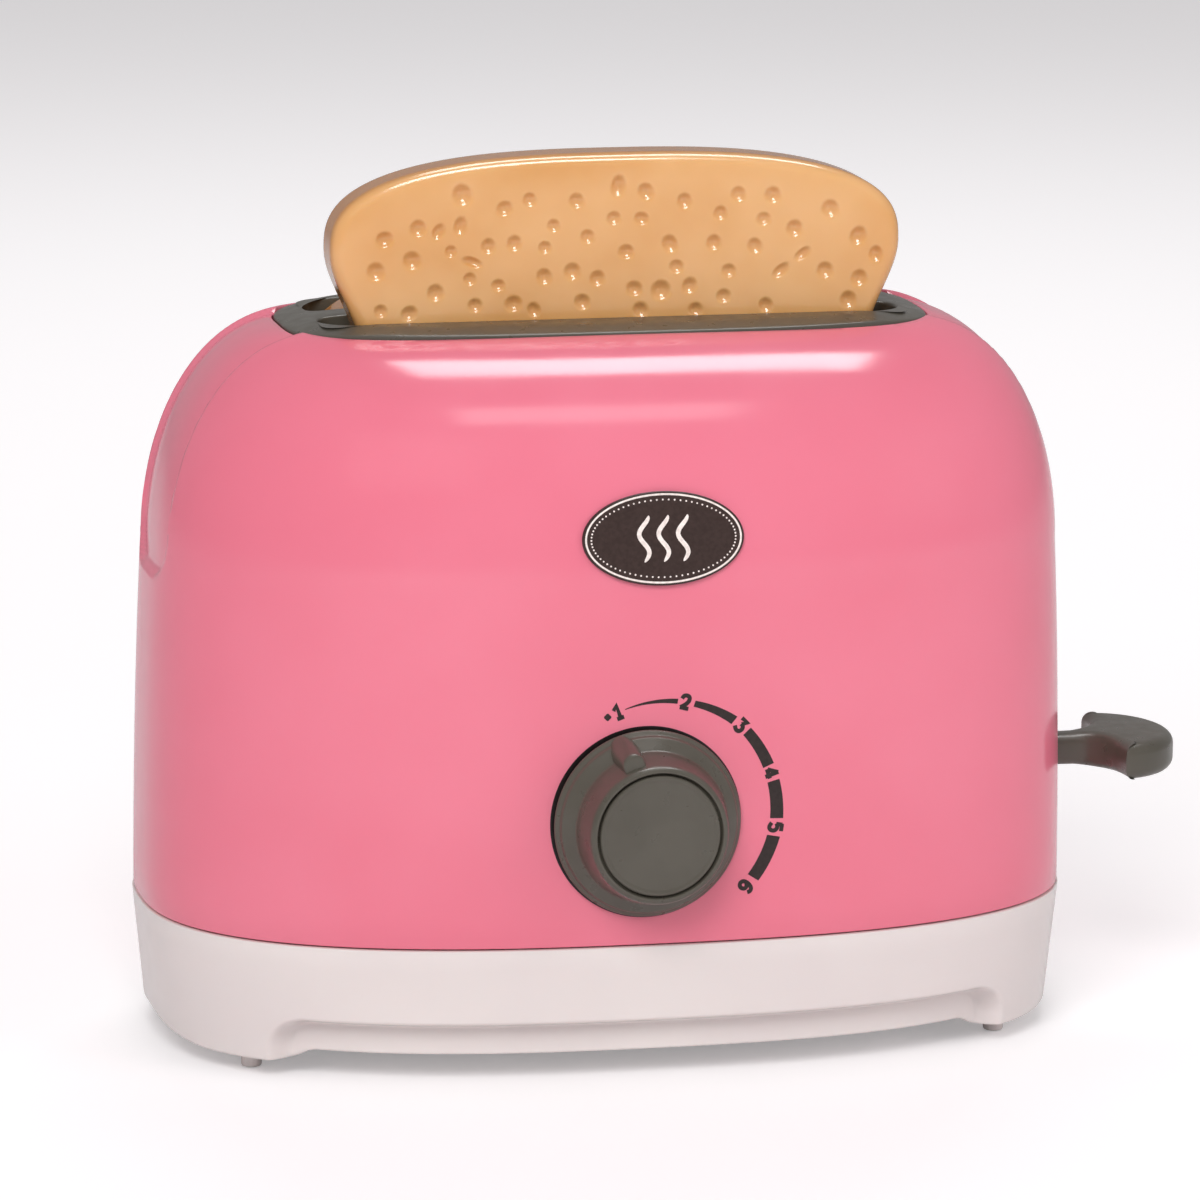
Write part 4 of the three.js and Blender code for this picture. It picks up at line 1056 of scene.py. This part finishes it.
def badge_point(x, z, out):
    """A place on the badge, across and up from its middle, and out from its face."""
    tilt = math.radians(8.5)
    middle, height, thickness = 0.3, 101.2, 0.5
    share = (height - SHOULDER) / (SHELL_TOP - SHOULDER)
    front = -(HALF_DEPTH - SIDE_LEAN - SHOULDER_RUN[1] * (1 - math.sqrt(1 - share * share)))
    return Vector((
        middle + x, front + z * math.sin(tilt) - (thickness + out) * math.cos(tilt),
        height + z * math.cos(tilt) + (thickness + out) * math.sin(tilt)))


def oval(half_x, half_z, out):
    return [badge_point(half_x * math.cos(t), half_z * math.sin(t), out) for t in around(128)]


def make_badge():
    bm = bmesh.new()
    edge = ((0, -0.25), (0.05, -0.1), (0.2, 0.0), (0.34, 0.0))
    stack(bm, [oval(14.9, 8.5, -1.5)] + [oval(14.95 - inset, 8.55 - inset, out) for inset, out in edge])
    plate = finish_piece("badge_plate", bm, BADGE_PLATE, "body", sharp=50)
    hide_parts("badge")
    bm = bmesh.new()
    grow(bm, ring_of(bm, oval(14.5, 8.15, PRINT)), oval(14.15, 7.8, PRINT))
    dot = 0.17
    for angle in around(76):
        x, z = 13.35 * math.cos(angle), 7.0 * math.sin(angle)
        cap(bm, ring_of(bm, [badge_point(*at, PRINT) for at in circle(x, z, dot, 10)]))
    # Three waves for heat, a little thinner at their ends
    height, swing, waves, half_stroke = 8.4, 0.9, 1.25, 0.42
    for shift in (-3.6, 0, 3.6):
        left, right = [], []
        for i in range(33):
            t = i / 32
            z = -height / 2 + height * t
            x = shift + swing * math.sin(2 * math.pi * waves * t)
            slope = swing * 2 * math.pi * waves / height * math.cos(2 * math.pi * waves * t)
            along = Vector((slope, 1)).normalized()
            half = half_stroke * math.sqrt(max(1 - (2 * t - 1) ** 6, 0.03))
            left.append(badge_point(x - along.y * half, z + along.x * half, PRINT))
            right.append(badge_point(x + along.y * half, z - along.x * half, PRINT))
        ribbon(bm, left, right)
    marks = finish_piece("badge_marks", bm, BADGE_PRINT, "body", sharp=80, facing=TOWARDS_DIAL)


SCALE_CENTRE = (-1.0, 50.0)
# Angle clockwise from up, and radius, of the dot and of the numbers 1 to 6
SCALE_PLACES = (
    (-25.5, 20.9), (-19.8, 20.9), (14.4, 21.8), (43.8, 22.8), (71.3, 22.8), (97.1, 22.7), (128.8, 21.7))
# Start and end angle, and start and end thickness, of the bars between the numbers
SCALE_BARS = (
    (-16.0, 10.6, 0.16, 0.95), (18.9, 40.0, 1.15, 1.75), (48.1, 67.6, 1.95, 2.2),
    (75.2, 93.0, 2.35, 2.5), (101.3, 123.2, 2.5, 2.4))


def scale_radius(degrees):
    """Radius of the printed scale at an angle, between the places of its numbers."""
    for (a, ra), (b, rb) in zip(SCALE_PLACES, SCALE_PLACES[1:]):
        if degrees <= b:
            return ra + (rb - ra) * (degrees - a) / (b - a)
    return SCALE_PLACES[-1][1]


def scale_place(degrees, radius, across=0.0):
    """X and z of a place on the printed scale, or across from it."""
    angle = math.radians(degrees)
    return (SCALE_CENTRE[0] + radius * math.sin(angle) + across * math.cos(angle),
            SCALE_CENTRE[1] + radius * math.cos(angle) - across * math.sin(angle))


def make_bars():
    bm = bmesh.new()
    steps = 24
    for start, end, thin, thick in SCALE_BARS:
        outer, inner = [], []
        for i in range(steps + 1):
            t = i / steps
            degrees = start + (end - start) * t
            half = (thin + (thick - thin) * t) / 2
            radius = scale_radius(degrees)
            outer.append(on_shell(*scale_place(degrees, radius + half)))
            inner.append(on_shell(*scale_place(degrees, radius - half)))
        ribbon(bm, inner, outer)
    # The dot before the numbers, with four faint lobes
    x, z = scale_place(*SCALE_PLACES[0])
    dot = []
    for t in around(24):
        lobe = 1 + 0.12 * math.cos(4 * t)
        dot.append(on_shell(x + 0.62 * math.cos(t) * lobe, z + 0.62 * math.sin(t) * lobe))
    cap(bm, ring_of(bm, dot))
    piece = finish_piece("scale_bars", bm, INK, "body", sharp=80, facing=TOWARDS_DIAL)


# Strokes of the digits in a box from -1 to 1 each way: whether the stroke is curved, and its points
DIGITS = {
    1: ((False, ((-0.75, 0.45), (0.12, 1.0), (0.12, -0.9))), (False, ((-0.6, -0.86), (0.85, -0.86)))),
    2: ((True, ((-0.85, 0.4), (-0.62, 0.86), (0.0, 1.0), (0.62, 0.84), (0.72, 0.32), (0.2, -0.3),
                (-0.8, -0.86))),
        (False, ((-0.9, -0.86), (0.9, -0.86)))),
    3: ((False, ((-0.8, 0.86), (0.7, 0.86), (0.02, 0.16))),
        (True, ((-0.1, 0.16), (0.5, 0.12), (0.84, -0.32), (0.62, -0.84), (-0.05, -1.0), (-0.85, -0.62)))),
    4: ((False, ((0.36, -1.0), (0.36, 1.05))), (False, ((0.42, 0.98), (-0.92, -0.36))),
        (False, ((-1.0, -0.44), (1.0, -0.44)))),
    5: ((False, ((0.8, 0.88), (-0.72, 0.88))), (False, ((-0.52, 0.95), (-0.6, 0.02))),
        (True, ((-0.7, 0.08), (-0.1, 0.26), (0.55, 0.14), (0.84, -0.34), (0.6, -0.84), (-0.05, -1.0),
                (-0.8, -0.66)))),
    6: ((True, ((0.72, 0.72), (0.2, 1.0), (-0.5, 0.8), (-0.84, 0.0), (-0.66, -0.75), (0.0, -1.0),
                (0.66, -0.78), (0.8, -0.3), (0.45, 0.1), (-0.1, 0.14), (-0.7, -0.25))),),
}
DIGIT_HALF = Vector((0.92, 1.28))
HALF_STROKE = 0.39


def softened(points):
    """The polyline with its bends rounded, and its ends kept."""
    for _ in range(3):
        cut = [points[0]]
        for first, second in zip(points, points[1:]):
            cut += [first * 0.75 + second * 0.25, first * 0.25 + second * 0.75]
        points = cut + [points[-1]]
    return points


def make_number(digit, degrees, radius):
    """A bold printed digit, turned with the scale and laid on the shell's front."""
    bm = bmesh.new()

    def placed(point):
        return on_shell(*scale_place(degrees, radius + point.y, point.x))

    for curved, box_points in DIGITS[digit]:
        line = [Vector((x * DIGIT_HALF.x, y * DIGIT_HALF.y)) for x, y in box_points]
        line = softened(line) if curved else line
        sides = ([], [])
        for i, point in enumerate(line):
            before = (point - line[i - 1]).normalized() if i else (line[1] - point).normalized()
            after = (line[i + 1] - point).normalized() if i + 1 < len(line) else before
            mean = (before + after).normalized()
            wide = HALF_STROKE / max(mean.dot(after), 0.6)
            across = Vector((-mean.y, mean.x)) * wide
            sides[0].append(placed(point + across))
            sides[1].append(placed(point - across))
        ribbon(bm, *sides)
    piece = finish_piece(f"scale_number_{digit}", bm, INK, "body", sharp=80, facing=TOWARDS_DIAL)


# CAD nodes that keep their own shape


def numbered(name, count):
    return [f"{name}_{number}" for number in range(1, count + 1)]


def dress(nodes, material):
    for name in nodes:
        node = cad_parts[name]
        for slot in node.material_slots:
            slot.link = "OBJECT"
            slot.material = material


make_shell()
make_base()
for foot, foot_place in enumerate(((70.7, -26.8), (-70.7, -26.8), (-70.7, 26.8), (70.7, 26.8)), start=1):
    make_foot(foot, *foot_place)
make_slot_plate()
slices = [
    make_slice("toast_slice_front", "front_bread_slice", "front_slice", -SLOT_Y, SLICE_BOTTOMS[0], 11, False),
    make_slice("toast_slice_rear", "rear_bread_slice", "rear_slice", SLOT_Y, SLICE_BOTTOMS[1], 37, True),
]
make_dial()
make_lever()
make_badge()
make_bars()
for value, value_place in enumerate(SCALE_PLACES[1:], start=1):
    make_number(value, *value_place)

dress(("front_slot_liner", "rear_slot_liner"), GREY)
dress(("bread_carriage", *numbered("carriage_bush", 2), "dial_shaft", "drive_gear", "kicker",
       "intermediate_gear", "governor_pinion", "governor_fan"), ACETAL)
dress((*numbered("guide_rod", 2), "timer_front_plate", "timer_back_plate", *numbered("timer_pillar", 4),
       *numbered("timer_screw", 2), *numbered("base_screw", 4)), PLATED)
dress((*numbered("return_spring", 2), "mainspring", "detent_spring"), SPRING)


# Studio


def make_floor():
    bm = bmesh.new()
    bmesh.ops.create_grid(bm, x_segments=1, y_segments=1, size=6)
    mesh = into_mesh("floor", bm)
    floor = add_object("floor", mesh)
    floor.location = (0, 0, -0.0002)
    # Matt white studio paper, which the camera sees a little brighter than the lamps alone would make it
    material, tree, shader, _place = start_material("matt_studio_paper")
    seen = add_node(tree, "ShaderNodeLightPath").outputs["Is Camera Ray"]
    lift = add_node(tree, "ShaderNodeMath", {0: seen, 1: 0.3}, operation="MULTIPLY").outputs["Value"]
    feed(tree, shader, {
        "Base Color": linear("#f3f1f2"),
        "Roughness": 0.7,
        "Emission Color": linear("#f6f4f5"),
        "Emission Strength": lift,
    })
    mesh.materials.append(material)


def make_lamp(name, place, target, size, power, diffuse=True, glossy=True, only=()):
    """A softbox. Real ones are flagged off with screens, so each may light, or show as a reflection,
    or both, and may reach only some pieces."""
    lamp = bpy.data.lights.new(name, "AREA")
    lamp.shape = "RECTANGLE"
    lamp.size, lamp.size_y = size
    lamp.energy = power
    holder = add_object(name, lamp)
    holder.location = place
    holder.rotation_euler = (Vector(target) - Vector(place)).to_track_quat("-Z", "Y").to_euler()
    holder.visible_diffuse = diffuse
    holder.visible_glossy = glossy
    if only:
        reached = bpy.data.collections.new(name + "_reaches")
        for piece in only:
            reached.objects.link(piece)
        holder.light_linking.receiver_collection = reached


def make_world():
    world = bpy.data.worlds.new("studio")
    world.use_nodes = True
    tree = world.node_tree
    background = tree.nodes["Background"]
    seen = add_node(tree, "ShaderNodeLightPath").outputs["Is Camera Ray"]
    strength = add_node(tree, "ShaderNodeMapRange", {"Value": seen, "To Min": 0.4, "To Max": 0.9})
    feed(tree, background, {"Color": linear("#f4f2f3"), "Strength": strength.outputs["Result"]})
    bpy.context.scene.world = world


def make_camera():
    """The photograph's own viewpoint, solved from the toaster's edges, with a square of it as the frame."""
    spot = Vector((-305.6, -1374.4, 364.2)) * MM + MIDDLE
    right = Vector((0.9748, -0.2229, 0.0091))
    up = Vector((0.0363, 0.1987, 0.9794))
    ahead = Vector((0.2201, 0.9544, -0.2018))
    # In the photograph's pixels, its focal length and how far the frame's middle is to the left and up
    focal, left, above = 5109.6, 38, 19
    aim = (ahead - right * (left / focal) + up * (above / focal)).normalized()
    side = aim.cross(up).normalized()
    over = side.cross(aim)
    camera = bpy.data.cameras.new("camera")
    camera.sensor_width = 36
    photo_lens, crop = 153.3, 1.5
    camera.lens = photo_lens * crop
    holder = add_object("camera", camera)
    holder.matrix_world = Matrix((
        (side.x, over.x, -aim.x, spot.x), (side.y, over.y, -aim.y, spot.y),
        (side.z, over.z, -aim.z, spot.z), (0, 0, 0, 1)))
    bpy.context.scene.camera = holder


make_floor()
make_world()
make_camera()
make_lamp("softbox_key", (-0.45, -1.05, 0.95), (0, 0, 0.08), (0.7, 0.6), 11.5, glossy=False)
make_lamp("softbox_fill", (0.9, -0.7, 0.5), (0, 0, 0.07), (0.6, 0.6), 2.6, glossy=False)
make_lamp("softbox_back", (0.2, 0.9, 0.9), (0, 0, 0.08), (0.8, 0.5), 4.0, glossy=False)
make_lamp("strip_over", (0.2, 0.07, 1.0), (0.2, 0.07, 0), (0.62, 0.26), 5.4, diffuse=False)
make_lamp("strip_near", (0.1, -0.56, 1.0), (0.1, -0.56, 0), (0.45, 0.2), 0.8, diffuse=False)
make_lamp("softbox_toast", (0.0, -0.56, 1.0), (0, 0, 0.15), (0.46, 0.3), 6.0, diffuse=False, only=slices)
bpy.context.scene.view_settings.view_transform = "Standard"
